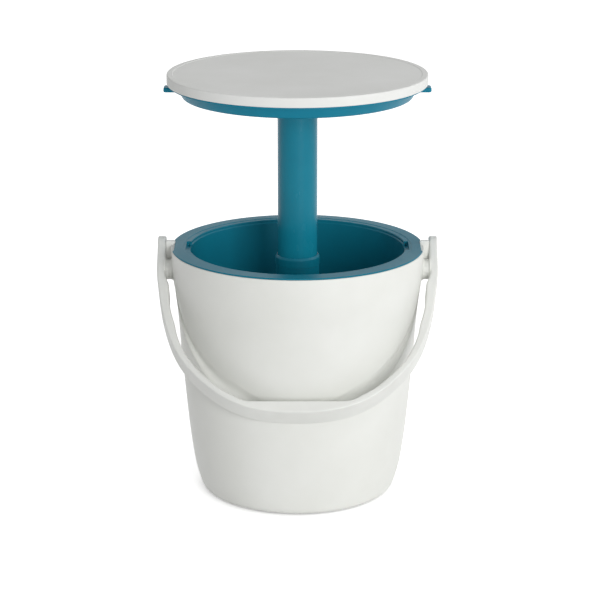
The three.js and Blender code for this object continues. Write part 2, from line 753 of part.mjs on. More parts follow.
// The handle hangs straight down from its pivots here, with its middle plane at Y = 0
function carryingHandle() {
  const toPoint = ([out, down]) => new THREE.Vector2(out * handleHalfSpan, -down * handleDrop);
  const mirror = (points) => points.map(({ x, y }) => new THREE.Vector2(-x, y)).reverse();
  const outerHalf = [new THREE.Vector2(handleHalfSpan, earRise), ...archOuterShares.map(toPoint)];
  const gripMiddle = new THREE.Vector2(0, -handleDrop);
  const gripCorner = new THREE.Vector2(gripInnerHalfShare * handleHalfSpan, -gripInnerDrop);
  const innerHalf = [new THREE.Vector2(earInner, earRise), new THREE.Vector2(earInner, -hubRadius - bossFlare)];
  innerHalf.push(...archInnerShares.map(toPoint), gripCorner);
  const innerCurve = [...innerHalf, ...mirror(innerHalf)].reverse();
  const outline = [...outerHalf, gripMiddle, ...mirror(outerHalf), ...innerCurve];
  const flatWidth = strapWidth - 2 * strapRound;
  const strap = new THREE.ExtrudeGeometry(new THREE.Shape(outline), {
    depth: flatWidth,
    bevelThickness: strapRound,
    bevelSize: strapRound,
    bevelOffset: -strapRound,
    bevelSegments: 2,
  });
  strap.translate(0, 0, -flatWidth / 2).rotateX(Math.PI / 2);
  const side = new THREE.Shape();
  const earRound = strapWidth / 2;
  side.moveTo(-strapWidth, -handleDrop - cutOverrun);
  side.lineTo(strapWidth, -handleDrop - cutOverrun);
  side.lineTo(strapWidth, 0);
  side.lineTo(earRound, 0);
  side.absarc(0, earRise - earRound, earRound, 0, Math.PI, false);
  side.lineTo(-earRound, 0);
  side.lineTo(-strapWidth, 0);
  side.closePath();
  const sideLength = 2 * (handleHalfSpan + cutOverrun);
  const sideCut = new THREE.ExtrudeGeometry(side, { depth: sideLength, bevelEnabled: false });
  sideCut.translate(0, 0, -sideLength / 2).rotateY(Math.PI / 2).rotateX(Math.PI / 2);
  let handle = toSolid(strap).intersect(toSolid(sideCut));
  const bossOutline = [
    [0, bossReach],
    [hubRadius, bossReach],
    [hubRadius, earInner - bossFlare],
    [hubRadius + bossFlare, earInner + bossFlare / 2],
    [0, earInner + bossFlare / 2],
  ];
  for (const end of [-1, 1]) {
    const boss = revolve(bossOutline, tubeFacets).rotateY(Math.PI / 2).rotateZ(end < 0 ? Math.PI : 0);
    handle = handle.add(toSolid(boss));
    const bore = [end * (bossReach - cutOverrun), end * (handleHalfSpan + cutOverrun)];
    const sinkStart = end * (handleHalfSpan - pinHeadThickness - 2 * seatGap);
    handle = handle.subtract(crossCylinder(pinRadius + runningGap, bore[0], bore[1], 0));
    handle = handle.subtract(crossCylinder(pinHeadRadius + runningGap, sinkStart, bore[1], 0));
  }
  return handle;
}

// The pin lies along +X, with the outer face of its head at handleHalfSpan
function pivotPin() {
  const headOuter = handleHalfSpan - seatGap;
  const headInner = headOuter - pinHeadThickness;
  const tailEnd = shellRadius(pivotHeight) - shellWall - hubInnerLength - seatGap - clipThickness - pinTail;
  const outline = [
    [0, tailEnd],
    [pinRadius, tailEnd],
    [pinRadius, headInner],
    [pinHeadRadius, headInner],
    [pinHeadRadius, headOuter - pinHeadDome],
    [pinHeadRadius * pinHeadFaceShare, headOuter - pinHeadDome / 4],
    [0, headOuter],
  ];
  return revolve(outline, tubeFacets).rotateY(Math.PI / 2);
}

function ringAlongX(inner, outer, from, to) {
  const outline = [
    [inner, from],
    [outer, from],
    [outer, to],
    [inner, to],
  ];
  return revolve(outline, tubeFacets).rotateY(Math.PI / 2);
}

function bucketGroup() {
  const bucket = new THREE.Group();
  addPiece(bucket, "outer_shell", toGeometry(outerShell()), whitePlastic);
  addPiece(bucket, "inner_liner", toGeometry(innerLiner()), tealPlastic);
  addPiece(bucket, "center_sleeve", toGeometry(centreSleeve()), tealPlastic);
  addPiece(bucket, "sleeve_gasket", toGeometry(sleeveGasket()), rubber);
  addPiece(bucket, "sleeve_collar", sleeveCollar(), tealPlastic);
  addPiece(bucket, "grip_ring", gripRing(), rubber);
  const clipOuterFace = shellRadius(pivotHeight) - shellWall - hubInnerLength - seatGap;
  for (const [side, turn] of [["right", 0], ["left", Math.PI]]) {
    const pivot = new THREE.Group();
    pivot.position.z = pivotHeight;
    pivot.rotation.z = turn;
    const ringInner = pinRadius + seatGap;
    const clip = ringAlongX(ringInner, clipRadius, clipOuterFace - clipThickness, clipOuterFace);
    const washer = ringAlongX(ringInner, hubRadius, hubReach + seatGap, hubReach + seatGap + washerThickness);
    addPiece(pivot, `pivot_pin_${side}`, pivotPin(), whitePlastic);
    addPiece(pivot, `pivot_washer_${side}`, washer, nylon);
    addPiece(pivot, `pivot_clip_${side}`, clip, steel);
    bucket.add(pivot);
  }
  placesOnRing(footRing).forEach(([x, y], i) => {
    const foot = addPiece(bucket, `foot_${i + 1}`, rubberFoot(), rubber);
    foot.position.set(x, y, 0);
  });
  placesOnRing(legRing).forEach(([x, y], i) => {
    const bodyScrew = addPiece(bucket, `body_screw_${i + 1}`, screw(bodyScrewLength), steel);
    bodyScrew.position.set(x, y, bodyScrewSeat);
  });
  placesOnRing(sleeveScrewRing).forEach(([x, y], i) => {
    const sleeveScrew = addPiece(bucket, `sleeve_screw_${i + 1}`, screw(sleeveScrewLength), steel);
    sleeveScrew.position.set(x, y, sleeveScrewSeat);
  });
  return bucket;
}

function tableGroup() {
  const table = new THREE.Group();
  addPiece(table, "table_top", toGeometry(tableTop()), whitePlastic);
  addPiece(table, "lid_pan", toGeometry(lidPan()), tealPlastic);
  addPiece(table, "column_tube", toGeometry(columnTube()), tealPlastic);
  addPiece(table, "column_guide", toGeometry(columnGuide()), nylon);
  placesOnRing(columnScrewRing).forEach(([x, y], i) => {
    const columnScrew = addPiece(table, `column_screw_${i + 1}`, screw(columnScrewLength), steel);
    columnScrew.rotation.x = Math.PI;
    columnScrew.position.set(x, y, columnScrewSeat);
  });
  placesOnRing(lidScrewRing).forEach(([x, y], i) => {
    const lidScrew = addPiece(table, `lid_screw_${i + 1}`, screw(lidScrewLength), steel);
    lidScrew.position.set(x, y, panBottom + seatGap + screwHeadHeight);
  });
  return table;
}

function handleGroup() {
  const handle = new THREE.Group();
  handle.position.z = pivotHeight;
  handle.rotation.x = -handleTilt;
  addPiece(handle, "carrying_handle", toGeometry(carryingHandle()), whitePlastic);
  return handle;
}

const iceBucketTable = new THREE.Group();
iceBucketTable.add(bucketGroup(), tableGroup(), handleGroup());

export default iceBucketTable;
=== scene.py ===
import math

import bmesh
import bpy
import numpy as np
from mathutils import Matrix, Vector


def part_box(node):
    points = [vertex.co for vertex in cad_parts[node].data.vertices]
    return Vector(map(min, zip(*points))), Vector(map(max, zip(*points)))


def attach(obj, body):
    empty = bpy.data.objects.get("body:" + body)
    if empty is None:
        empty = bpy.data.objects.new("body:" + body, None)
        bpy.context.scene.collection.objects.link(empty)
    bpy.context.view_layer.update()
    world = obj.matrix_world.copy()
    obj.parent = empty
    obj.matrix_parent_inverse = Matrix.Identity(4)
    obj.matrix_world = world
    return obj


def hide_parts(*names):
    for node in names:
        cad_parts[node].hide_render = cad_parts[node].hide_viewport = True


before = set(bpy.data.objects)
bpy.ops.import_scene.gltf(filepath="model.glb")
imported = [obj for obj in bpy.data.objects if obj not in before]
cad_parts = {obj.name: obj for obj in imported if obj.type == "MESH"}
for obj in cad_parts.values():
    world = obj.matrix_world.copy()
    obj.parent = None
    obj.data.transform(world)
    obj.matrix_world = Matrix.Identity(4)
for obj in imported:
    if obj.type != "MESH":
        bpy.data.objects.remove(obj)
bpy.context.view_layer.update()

mm = 0.001  # every size below is in millimetres, the meshes are in metres
rimSteps = 240  # facets round the liner, the table and the pan
tubeSteps = 96  # facets round the column and the sleeve
pivotSteps = 64
boltSteps = 32
screwBore = 2.3  # radius of the screw holes
cutPast = 5  # how far a cutting shape runs out of what it cuts
tilt = math.radians(47)  # of the handle at rest


def reachOf(node, axis):
    # the furthest that a CAD node goes along an axis
    return round(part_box(node)[1]["xyz".index(axis)] / mm, 2)


def middleOf(node):
    return [(a + b) / 2 / mm for a, b in zip(*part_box(node))]


def ringOf(node):
    # how far out a node stands from the bucket's axis
    return round(math.hypot(*middleOf(node)[:2]), 1)


pivotHeight = round(middleOf("pivot_pin_right")[2], 2)
footRing = ringOf("foot_1")
bodyScrewRing, sleeveScrewRing, columnScrewRing, lidScrewRing = (
    ringOf(row + "_screw_1") for row in ("body", "sleeve", "column", "lid")
)


def fromSrgb(red, green, blue):
    def linear(value):
        share = value / 255
        return share / 12.92 if share <= 0.04045 else ((share + 0.055) / 1.055) ** 2.4

    return (linear(red), linear(green), linear(blue), 1)


# effects that the materials share

surfaceInputs = {
    "Grain Scale": 900, "Grain Depth": 0.1, "Wave Scale": 14, "Wave Depth": 0.05, "Mottle Scale": 9,
}
scuffInputs = {"Scuff Scale": 30, "Scuff Stretch": 12, "Scuff Amount": 0.5}


def feed(tree, node, inputs):
    # an input gets a value, or a link from a pair of a node and its output
    for key, value in inputs.items():
        if isinstance(value, tuple) and isinstance(value[0], bpy.types.Node):
            tree.links.new(value[0].outputs[value[1]], node.inputs[key])
        else:
            node.inputs[key].default_value = value


def addNode(tree, kind, place, inputs=None, **settings):
    node = tree.nodes.new(kind)
    node.location = place
    for key, value in settings.items():
        setattr(node, key, value)
    feed(tree, node, inputs or {})
    return node


def newGroup(name, inputs, outputs):
    group = bpy.data.node_groups.new(name, "ShaderNodeTree")
    for label, value in inputs.items():
        socket = group.interface.new_socket(name=label, in_out="INPUT", socket_type="NodeSocketFloat")
        socket.default_value = value
    for label, kind in outputs.items():
        group.interface.new_socket(name=label, in_out="OUTPUT", socket_type=kind)
    return group, addNode(group, "NodeGroupInput", (-900, 0))


def mouldedSurface():
    # fine spark-eroded grain over a slow waviness, and a mottle for colour and gloss
    outputs = {"Normal": "NodeSocketVector", "Mottle": "NodeSocketFloat"}
    group, start = newGroup("mouldedSurface", surfaceInputs, outputs)
    spot = addNode(group, "ShaderNodeTexCoord", (-900, 300))

    def noise(label, height, inputs):
        inputs = {"Vector": (spot, "Object"), "Scale": (start, label), **inputs}
        return addNode(group, "ShaderNodeTexNoise", (-600, height), inputs)

    grain = noise("Grain Scale", 200, {"Detail": 3})
    wave = noise("Wave Scale", -50, {"Detail": 1})
    mottle = noise("Mottle Scale", -300, {"Detail": 4, "Roughness": 0.6})
    slow = addNode(group, "ShaderNodeBump", (-200, -50), {
        "Strength": (start, "Wave Depth"), "Distance": 0.0012, "Height": (wave, "Fac"),
    })
    fine = addNode(group, "ShaderNodeBump", (100, 100), {
        "Strength": (start, "Grain Depth"), "Distance": 0.00012, "Height": (grain, "Fac"),
        "Normal": (slow, "Normal"),
    })
    addNode(group, "NodeGroupOutput", (700, 0), {"Normal": (fine, "Normal"), "Mottle": (mottle, "Fac")})
    return group


def lightHandling():
    # faint hairline scuffs, as one mask
    group, start = newGroup("lightHandling", scuffInputs, {"Scuffs": "NodeSocketFloat"})
    spot = addNode(group, "ShaderNodeTexCoord", (-900, 250))
    scale = {"X": (start, "Scuff Stretch"), "Y": 1, "Z": 1}
    stretch = addNode(group, "ShaderNodeCombineXYZ", (-700, -150), scale)
    along = addNode(group, "ShaderNodeMapping", (-500, 150), {
        "Vector": (spot, "Object"), "Rotation": (0.4, 0.2, 0.9), "Scale": (stretch, "Vector"),
    })
    streak = addNode(group, "ShaderNodeTexNoise", (-300, 150), {
        "Vector": (along, "Vector"), "Scale": (start, "Scuff Scale"), "Detail": 2,
    })
    edge = addNode(group, "ShaderNodeMapRange", (-50, 150), {
        "Value": (streak, "Fac"), "From Min": 0.62, "From Max": 0.74,
    }, interpolation_type="SMOOTHSTEP")
    amount = addNode(group, "ShaderNodeMath", (200, 100), {
        0: (edge, "Result"), 1: (start, "Scuff Amount"),
    }, operation="MULTIPLY")
    addNode(group, "NodeGroupOutput", (700, 0), {"Scuffs": (amount, "Value")})
    return group


surfaceGroup = mouldedSurface()
handlingGroup = lightHandling()
print("shared effects ready")

# grain and wave: scale and depth. scuffs: scale, stretch and amount
finishes = {
    "shellWhite": {
        "color": (232, 233, 229), "tone": (226, 227, 222), "roughness": (0.42, 0.5), "specular": 0.42,
        "grain": (1100, 0.12), "wave": (11, 0.05), "mottle": 7, "scuffs": (26, 9, 0.1),
    },
    "tableWhite": {
        "color": (231, 232, 230), "tone": (225, 226, 223), "roughness": (0.5, 0.58), "specular": 0.4,
        "grain": (900, 0.2), "wave": (8, 0.03), "mottle": 6, "scuffs": (18, 14, 0.14),
    },
    "handleWhite": {
        "color": (231, 232, 228), "tone": (224, 225, 221), "roughness": (0.4, 0.5), "specular": 0.42,
        "grain": (1000, 0.12), "wave": (16, 0.05), "mottle": 12, "scuffs": (40, 6, 0.14),
    },
    "linerTeal": {
        "color": (12, 118, 140), "tone": (9, 110, 132), "roughness": (0.36, 0.45), "specular": 0.17,
        "grain": (1000, 0.1), "wave": (12, 0.08), "mottle": 8, "scuffs": (24, 8, 0.2),
    },
    "columnTeal": {
        "color": (22, 131, 154), "tone": (18, 123, 146), "roughness": (0.2, 0.28), "specular": 0.15,
        "grain": (900, 0.06), "wave": (16, 0.06), "mottle": 10, "scuffs": (30, 3, 0.2),
    },
    "panTeal": {
        "color": (16, 126, 152), "tone": (12, 118, 144), "roughness": (0.36, 0.45), "specular": 0.15,
        "grain": (1000, 0.1), "wave": (10, 0.06), "mottle": 7, "scuffs": (24, 8, 0.16),
    },
    "nylonCream": {
        "color": (224, 222, 214), "tone": (214, 211, 201), "roughness": (0.45, 0.6), "specular": 0.4,
        "grain": (700, 0.1), "wave": (40, 0.04), "mottle": 30, "scuffs": (60, 8, 0.3),
    },
    "footRubber": {
        "color": (46, 47, 49), "tone": (62, 62, 62), "roughness": (0.75, 0.92), "specular": 0.3,
        "grain": (900, 0.4), "wave": (60, 0.1), "mottle": 40, "scuffs": (50, 6, 0.4),
    },
    "zincSteel": {
        "color": (206, 208, 210), "tone": (176, 176, 172), "roughness": (0.22, 0.5), "specular": 0.5,
        "grain": (2200, 0.25), "wave": (90, 0.05), "mottle": 160, "scuffs": (60, 8, 0),
        "metallic": 1, "toneRange": (0, 1), "glossRange": (0, 1),
    },
}
plasticForm = {"metallic": 0, "toneRange": (0.35, 0.7), "glossRange": (0.3, 0.7)}  # ranges of the mottle
scuffRoughness = 0.3  # what a full scuff adds


def finishMaterial(name):
    form = {**plasticForm, **finishes[name]}
    material = bpy.data.materials.new(name)
    material.use_nodes = True
    tree = material.node_tree
    surfaceValues = dict(zip(surfaceInputs, (*form["grain"], *form["wave"], form["mottle"])))
    scuffValues = dict(zip(scuffInputs, form["scuffs"]))
    surface = addNode(tree, "ShaderNodeGroup", (-700, 0), surfaceValues, node_tree=surfaceGroup)
    handling = addNode(tree, "ShaderNodeGroup", (-700, -300), scuffValues, node_tree=handlingGroup)

    def ofMottle(place, ends):
        ends = dict(zip(("From Min", "From Max", "To Min", "To Max"), ends))
        return addNode(tree, "ShaderNodeMapRange", place, {"Value": (surface, "Mottle"), **ends})

    spread = ofMottle((-550, 100), form["toneRange"])
    gloss = ofMottle((-400, -100), form["glossRange"] + form["roughness"])
    tint = addNode(tree, "ShaderNodeMix", (-400, 200), {
        0: (spread, "Result"), 6: fromSrgb(*form["color"]), 7: fromSrgb(*form["tone"]),
    }, data_type="RGBA")
    rubbed = addNode(tree, "ShaderNodeMath", (-150, -100), {
        0: (handling, "Scuffs"), 1: scuffRoughness, 2: (gloss, "Result"),
    }, operation="MULTIPLY_ADD")
    shader = tree.nodes["Principled BSDF"]
    shader.location = (200, 0)
    feed(tree, shader, {
        "Base Color": (tint, 2), "Roughness": (rubbed, "Value"), "Normal": (surface, "Normal"),
        "Metallic": form["metallic"], "Specular IOR Level": form["specular"],
    })
    return material


materials = {name: finishMaterial(name) for name in finishes}
print("materials ready")


# mesh helpers. A part is its vertices and faces

def roundedOutline(corners, steps=5):
    # a closed outline of (across, up) or (across, up, fillet) corners, with the fillets as arcs
    points = []
    for i, corner in enumerate(corners):
        here, *others = (np.array(corners[j % len(corners)][:2], float) for j in (i, i - 1, i + 1))
        fillet = corner[2] if len(corner) > 2 else 0
        lengths = [np.linalg.norm(other - here) for other in others]
        before, after = ((other - here) / length for other, length in zip(others, lengths))
        opening = math.acos(max(-1, min(1, float(before @ after))))
        if fillet <= 0 or opening > math.pi - 0.01:
            points.append(here)
            continue
        reach = min(fillet / math.tan(opening / 2), 0.49 * min(lengths))
        fillet = reach * math.tan(opening / 2)
        middle = before + after
        centre = here + middle / np.linalg.norm(middle) * fillet / math.sin(opening / 2)
        fromStart, fromEnd = ((here + way * reach - centre) / fillet for way in (before, after))
        turn = math.pi - opening
        for k in range(steps + 1):
            one, two = (math.sin(share * turn) / math.sin(turn) for share in (1 - k / steps, k / steps))
            points.append(centre + fillet * (fromStart * one + fromEnd * two))
    return points


def turnedMesh(outline, steps):
    # a closed outline of (radius, height), turned about Z; points on the axis become one vertex
    turns = np.arange(steps) * 2 * math.pi / steps
    verts, rings, faces = [], [], []
    for radius, height in outline:
        count = 1 if radius < 1e-6 else steps
        rings.append([len(verts) + k % count for k in range(steps)])
        verts.extend((radius * math.cos(t), radius * math.sin(t), height) for t in turns[:count])
    for ring, other in zip(rings, rings[1:] + rings[:1]):
        for k in range(steps):
            j = (k + 1) % steps
            face = dict.fromkeys((ring[k], ring[j], other[j], other[k]))
            if len(face) > 2:
                faces.append(tuple(face))
    return verts, faces


def turnedPart(corners, steps, filletSteps=5):
    return turnedMesh(roundedOutline(corners, filletSteps), steps)


def moved(part, by=(0, 0, 0), turn=None):
    verts, faces = part
    spin = turn or Matrix.Identity(4)
    shift = Vector(by)
    return [tuple((spin @ Vector(v)) + shift) for v in verts], faces


def cylinderPart(radius, low, high, steps=boltSteps):
    return turnedMesh([(0, low), (radius, low), (radius, high), (0, high)], steps)


def ringFaces(rings, size):
    # the sides of a stack of equal rings
    return [
        (j * size + i, j * size + (i + 1) % size, (j + 1) * size + (i + 1) % size, (j + 1) * size + i)
        for j in range(rings - 1) for i in range(size)
    ]


def closedFaces(rings, size):
    ends = [tuple(range(size)), tuple(range((rings - 1) * size, rings * size))]
    return ringFaces(rings, size) + ends


def cubeForm(low, high):
    form = bmesh.new()
    bmesh.ops.create_cube(form, size=1)
    for vert in form.verts:
        vert.co = Vector([a + (c + 0.5) * (b - a) for c, a, b in zip(vert.co, low, high)])
    return form


def bevelled(form, edges, offset, steps):
    bmesh.ops.bevel(form, geom=edges, offset=offset, segments=steps, profile=0.5, affect="EDGES")


def partOf(form):
    form.verts.index_update()
    part = [tuple(v.co) for v in form.verts], [tuple(v.index for v in face.verts) for face in form.faces]
    form.free()
    return part


def roundedBlock(low, high, fillet, steps=4):
    form = cubeForm(Vector(low), Vector(high))
    if fillet > 0:
        bevelled(form, form.edges[:], fillet, steps)
    return partOf(form)


def blockPair(axis, reach, half, heights, fillet, steps=2):
    # two alike blocks, one on each side of the bucket's axis
    blocks = []
    for side in (-1, 1):
        spans = [sorted(side * value for value in reach), (-half, half)]
        across, deep = spans if axis == "x" else reversed(spans)
        blocks.append(roundedBlock(*zip(across, deep, heights), fillet, steps))
    return blocks


def together(*parts):
    verts, faces = [], []
    for partVerts, partFaces in parts:
        start = len(verts)
        verts.extend(partVerts)
        faces.extend(tuple(i + start for i in face) for face in partFaces)
    return verts, faces


def newObject(name, part):
    verts, faces = part
    mesh = bpy.data.meshes.new(name)
    mesh.from_pydata([(x * mm, y * mm, z * mm) for x, y, z in verts], [], faces)
    form = bmesh.new()
    form.from_mesh(mesh)
    bmesh.ops.remove_doubles(form, verts=form.verts, dist=1e-7)
    bmesh.ops.recalc_face_normals(form, faces=form.faces)
    form.to_mesh(mesh)
    form.free()
    thing = bpy.data.objects.new(name, mesh)
    bpy.context.scene.collection.objects.link(thing)
    return thing


def combined(thing, parts, operation):
    # joins parts to a piece, or cuts them out of it, for good. The parts stand clear of each other
    tool = newObject(thing.name + "Tool", together(*parts))
    modifier = thing.modifiers.new("tool", "BOOLEAN")
    modifier.operation = operation
    modifier.solver = "EXACT"
    modifier.object = tool
    bpy.context.view_layer.update()
    result = bpy.data.meshes.new_from_object(thing.evaluated_get(bpy.context.evaluated_depsgraph_get()))
    thing.modifiers.clear()
    thing.data = result
    result.name = thing.name
    bpy.data.objects.remove(tool)


def finishPiece(thing, finish, body, node, sharpAngle=38):
    mesh = thing.data
    mesh.materials.clear()
    mesh.materials.append(materials[finish])
    mesh.polygons.foreach_set("use_smooth", [True] * len(mesh.polygons))
    mesh.set_sharp_from_angle(angle=math.radians(sharpAngle))
    modifier = thing.modifiers.new("evenShading", "WEIGHTED_NORMAL")
    modifier.keep_sharp = True
    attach(thing, body)
    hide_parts(node)


def lengthsAlong(path):
    return np.concatenate([[0], np.cumsum(np.linalg.norm(np.diff(path, axis=0), axis=1))])


def smoothPath(points, steps):
    # a curve through the points, evenly cut between each two
    points = np.array(points, float)
    lengths = np.maximum(np.linalg.norm(np.diff(points, axis=0), axis=1), 1e-6)
    knots = np.concatenate([[0], np.cumsum(np.sqrt(lengths))])
    gaps = np.diff(knots)[:, None]
    runs = np.diff(points, axis=0) / gaps
    inner = (runs[1:] * gaps[:-1] + runs[:-1] * gaps[1:]) / (gaps[1:] + gaps[:-1])
    slopes = np.vstack([runs[:1], inner, runs[-1:]])
    result = []
    for i, gap in enumerate(gaps[:, 0]):
        for k in range(steps):
            t = k / steps
            result.append(
                (2 * t**3 - 3 * t**2 + 1) * points[i] + (t**3 - 2 * t**2 + t) * gap * slopes[i]
                + (3 * t**2 - 2 * t**3) * points[i + 1] + (t**3 - t**2) * gap * slopes[i + 1]
            )
    result.append(points[-1])
    return np.array(result)


def placesOnRing(radius):
    turns = [(i + 0.5) / 4 * 2 * math.pi for i in range(4)]
    return [(radius * math.cos(t), radius * math.sin(t)) for t in turns]


def onRing(part, radius):
    return [moved(part, (x, y, 0)) for x, y in placesOnRing(radius)]


alongX = Matrix.Rotation(math.pi / 2, 4, "Y")
alongMinusX = Matrix.Rotation(-math.pi / 2, 4, "Y")


shellForm = {
    "floorEnd": (116, 0.8),  # where the flat floor turns up into the profile
    "profile": [  # radius, height, up the outside
        (121.5, 0.8), (126.5, 2.0), (130.2, 5.6), (134.2, 16), (139.3, 35), (142.9, 56), (147.1, 89),
        (153, 151), (156.6, 190), (159.9, 236), (162, 260), (164.2, 275), (166.2, 289), (168.8, 334.4),
    ],
    "wall": 3,
    "rimRound": 0.6,
    "skinTurns": 256,
    "skinRows": (34, 40, 36, 56),  # below, across and above the ledge, and down the inside
    "footCrowding": 1.35,  # above 1, the lowest rows stand closer
    "ledgeStart": 279.7,  # where the ledge's plane crosses the bucket's axis
    "ledgeRadii": (153, 146),  # of its outer and inner edge
    "ledgeBand": (8, 16),  # how far its close rows run on below and above
    "backTurn": (-0.02, 0.28),  # sine of the turn over which the plain back takes over
    "bowlTaper": (0.068, 0.1),  # of the bowl's wall, and where it rolls in to the ledge
    "bowlRoll": (14, 27),  # height of that roll behind the grip and at the sides
    "bowlEase": 26,  # height over which the bowl starts to draw in
    "creaseSharpness": (4.6, 1.7),  # behind the grip, and softer at the sides
    "creaseTurn": (12, 36),  # degrees from the front between which the crease softens
    "edgeRound": (2.4, 5),
    "rimSeatReach": 158.2,  # flat seats under the liner's cut sides
    "rimSeatDepth": 8,
    "seatEase": (4, 12),  # below the seats, where the inside is round again
    "insideCorner": (12, 5.5, 0.97),  # heights where the inside turns to the floor, and its draw inwards
    "hubRadius": 13.5,
    "hubReach": 170.85,
    "hubRoot": 158,  # its end inside the wall
    "hubFlare": 3.6,
    "hubSink": (0.6, 0.5),  # how far the flare runs out and into the wall
    "hubBevel": 0.12,
    "lugReach": (164.7, 176.1),  # a block beside each ear
    "lugDepth": (8.5, 14.5),  # behind the pivots
    "lugHeights": (309, 340.3),
    "lugFillets": (2, 1.6),  # of its lower and upper corners
    "lugRound": 1.4,
    "bossRoom": (14, 171, 176.15, 3.5),  # the handle's boss turns in it: radius, ends and flare
    "pivotBore": (6.3, 150, 190),  # radius, ends
    "screwPost": (8, 2, 7),  # radius, bottom, top
    "screwSeat": (4.5, 3.9, 12),  # room for the head: radius, top, and the top of the hole
    "footRoom": (11.3, 2.5),
}


def easedRamp(values, ease):
    # 0 below -ease, the value itself above ease, and a smooth curve between them
    return np.where(values < -ease, 0, np.where(values > ease, values, (values + ease) ** 2 / (4 * ease)))


def softly(value, low, high):
    share = min(1, max(0, (value - low) / (high - low)))
    return share * share * (3 - 2 * share)


def drawnIn(turn, heights, collar):
    # how far the bowl above the ledge is cut back from the collar's line
    wallTaper, footTaper = shellForm["bowlTaper"]
    below = shellForm["ledgeStart"] - heights
    front = 1 - softly(math.sin(turn), *shellForm["backTurn"])
    side = softly(math.degrees(math.acos(max(-1, min(1, -math.sin(turn))))), *shellForm["creaseTurn"])

    def fromFrontToSide(name):
        return shellForm[name][0] * (1 - side) + shellForm[name][1] * side

    eased = easedRamp(below, shellForm["bowlEase"])
    fullCut = footTaper * (front * eased + (1 - front) * np.maximum(below, 0))
    above = -math.cos(tilt) * collar * math.sin(turn) - math.sin(tilt) * below
    slope = math.cos(tilt) * max(-math.sin(turn), 0.02)
    ledgeCut = easedRamp(above / slope, fromFrontToSide("edgeRound"))
    if math.sin(turn) > 0:
        ledgeCut = np.where(above > 0, 1e3, 0)
    roll = np.clip((ledgeCut - fullCut) / fromFrontToSide("bowlRoll"), 0, 1)
    roll = roll * roll * (3 - 2 * roll)
    bowlCut = fullCut * (1 - roll * (1 - wallTaper / footTaper))
    sharp = fromFrontToSide("creaseSharpness")
    bowlCut, ledgeCut = np.maximum(bowlCut, 1e-5), np.maximum(ledgeCut, 1e-5)
    return (bowlCut**-sharp + ledgeCut**-sharp) ** (-1 / sharp)


def quarterArc(radius, count):
    # how far a quarter round stands off its corner, along its turn
    bends = np.linspace(0, math.pi / 2, count)
    return [(radius * (1 - math.sin(bend)), radius * (1 - math.cos(bend))) for bend in bends]


def shellSkin():
    form, curveSteps = shellForm, 14
    profile = smoothPath([form["floorEnd"], *form["profile"]], curveSteps)[curveSteps:]
    profile[:, 1] = np.maximum.accumulate(profile[:, 1] + np.arange(len(profile)) * 1e-6)
    radii, heights = profile[:, 0], profile[:, 1]
    along = lengthsAlong(profile)
    top, start, wall, steps = heights[-1], form["ledgeStart"], form["wall"], form["skinTurns"]
    lowRows, ledgeRows, highRows, insideRows = form["skinRows"]
    outerEdge, innerEdge = form["ledgeRadii"]
    runBelow, runAbove = form["ledgeBand"]
    columns = []
    for i in range(steps):
        turn = 2 * math.pi * i / steps
        sine = min(math.sin(turn), 0)
        fall = sine / math.tan(tilt)
        bandLow = start + fall * outerEdge - runBelow
        bandHigh = start + fall * (outerEdge + form["bowlTaper"][1] * innerEdge * sine) + runAbove
        reach = np.interp(bandLow, heights, along)
        low = np.interp(reach * (np.arange(lowRows) / lowRows) ** form["footCrowding"], along, heights)
        band = bandLow + (bandHigh - bandLow) * np.arange(ledgeRows) / ledgeRows
        high = bandHigh + (top - form["rimRound"] - bandHigh) * np.arange(highRows + 1) / highRows
        rows = np.concatenate([low, band, high])
        collar = np.interp(rows, heights, radii)
        columns.append((turn, rows, collar - drawnIn(turn, rows, collar)))
    rings = []
    for j in range(len(columns[0][1])):
        rings.append([(r[j] * math.cos(t), r[j] * math.sin(t), z[j]) for t, z, r in columns])
    for down, inward in quarterArc(form["rimRound"], 5)[1:]:
        out = radii[-1] - inward
        rings.append([(out * math.cos(t), out * math.sin(t), top - down) for t, z, r in columns])

    def innerRing(height, seat=False):
        ring = []
        level = np.array([height])
        collar = np.interp(level, heights, radii)
        for t, *_ in columns:
            out = float((collar - drawnIn(t, level, collar))[0]) - wall
            if seat:
                out = min(out, form["rimSeatReach"] / max(abs(math.cos(t)), 1e-6))
            ring.append((out * math.cos(t), out * math.sin(t), height))
        return ring

    seatBottom = top - form["rimSeatDepth"]
    easeStart, easeEnd = form["seatEase"]
    cornerTop, cornerLow, cornerDraw = form["insideCorner"]
    rings += [innerRing(top, True), innerRing(seatBottom, True), innerRing(seatBottom - easeStart)]
    rings += [innerRing(height) for height in np.linspace(seatBottom - easeEnd, cornerTop, insideRows)]
    rings.append(innerRing(cornerLow))
    floorTop = heights[0] + wall
    rings.append([(x * cornerDraw, y * cornerDraw, floorTop) for x, y, z in rings[-1]])
    verts = [v for ring in rings for v in ring]
    faces = ringFaces(len(rings), steps)
    for ring, height in ((0, heights[0]), (len(rings) - 1, floorTop)):
        faces += [(len(verts), ring * steps + i, ring * steps + (i + 1) % steps) for i in range(steps)]
        verts.append((0, 0, height))
    return verts, faces


def shellRadiusAt(height):
    path = shellForm["profile"]
    return float(np.interp(height, [p[1] for p in path], [p[0] for p in path]))


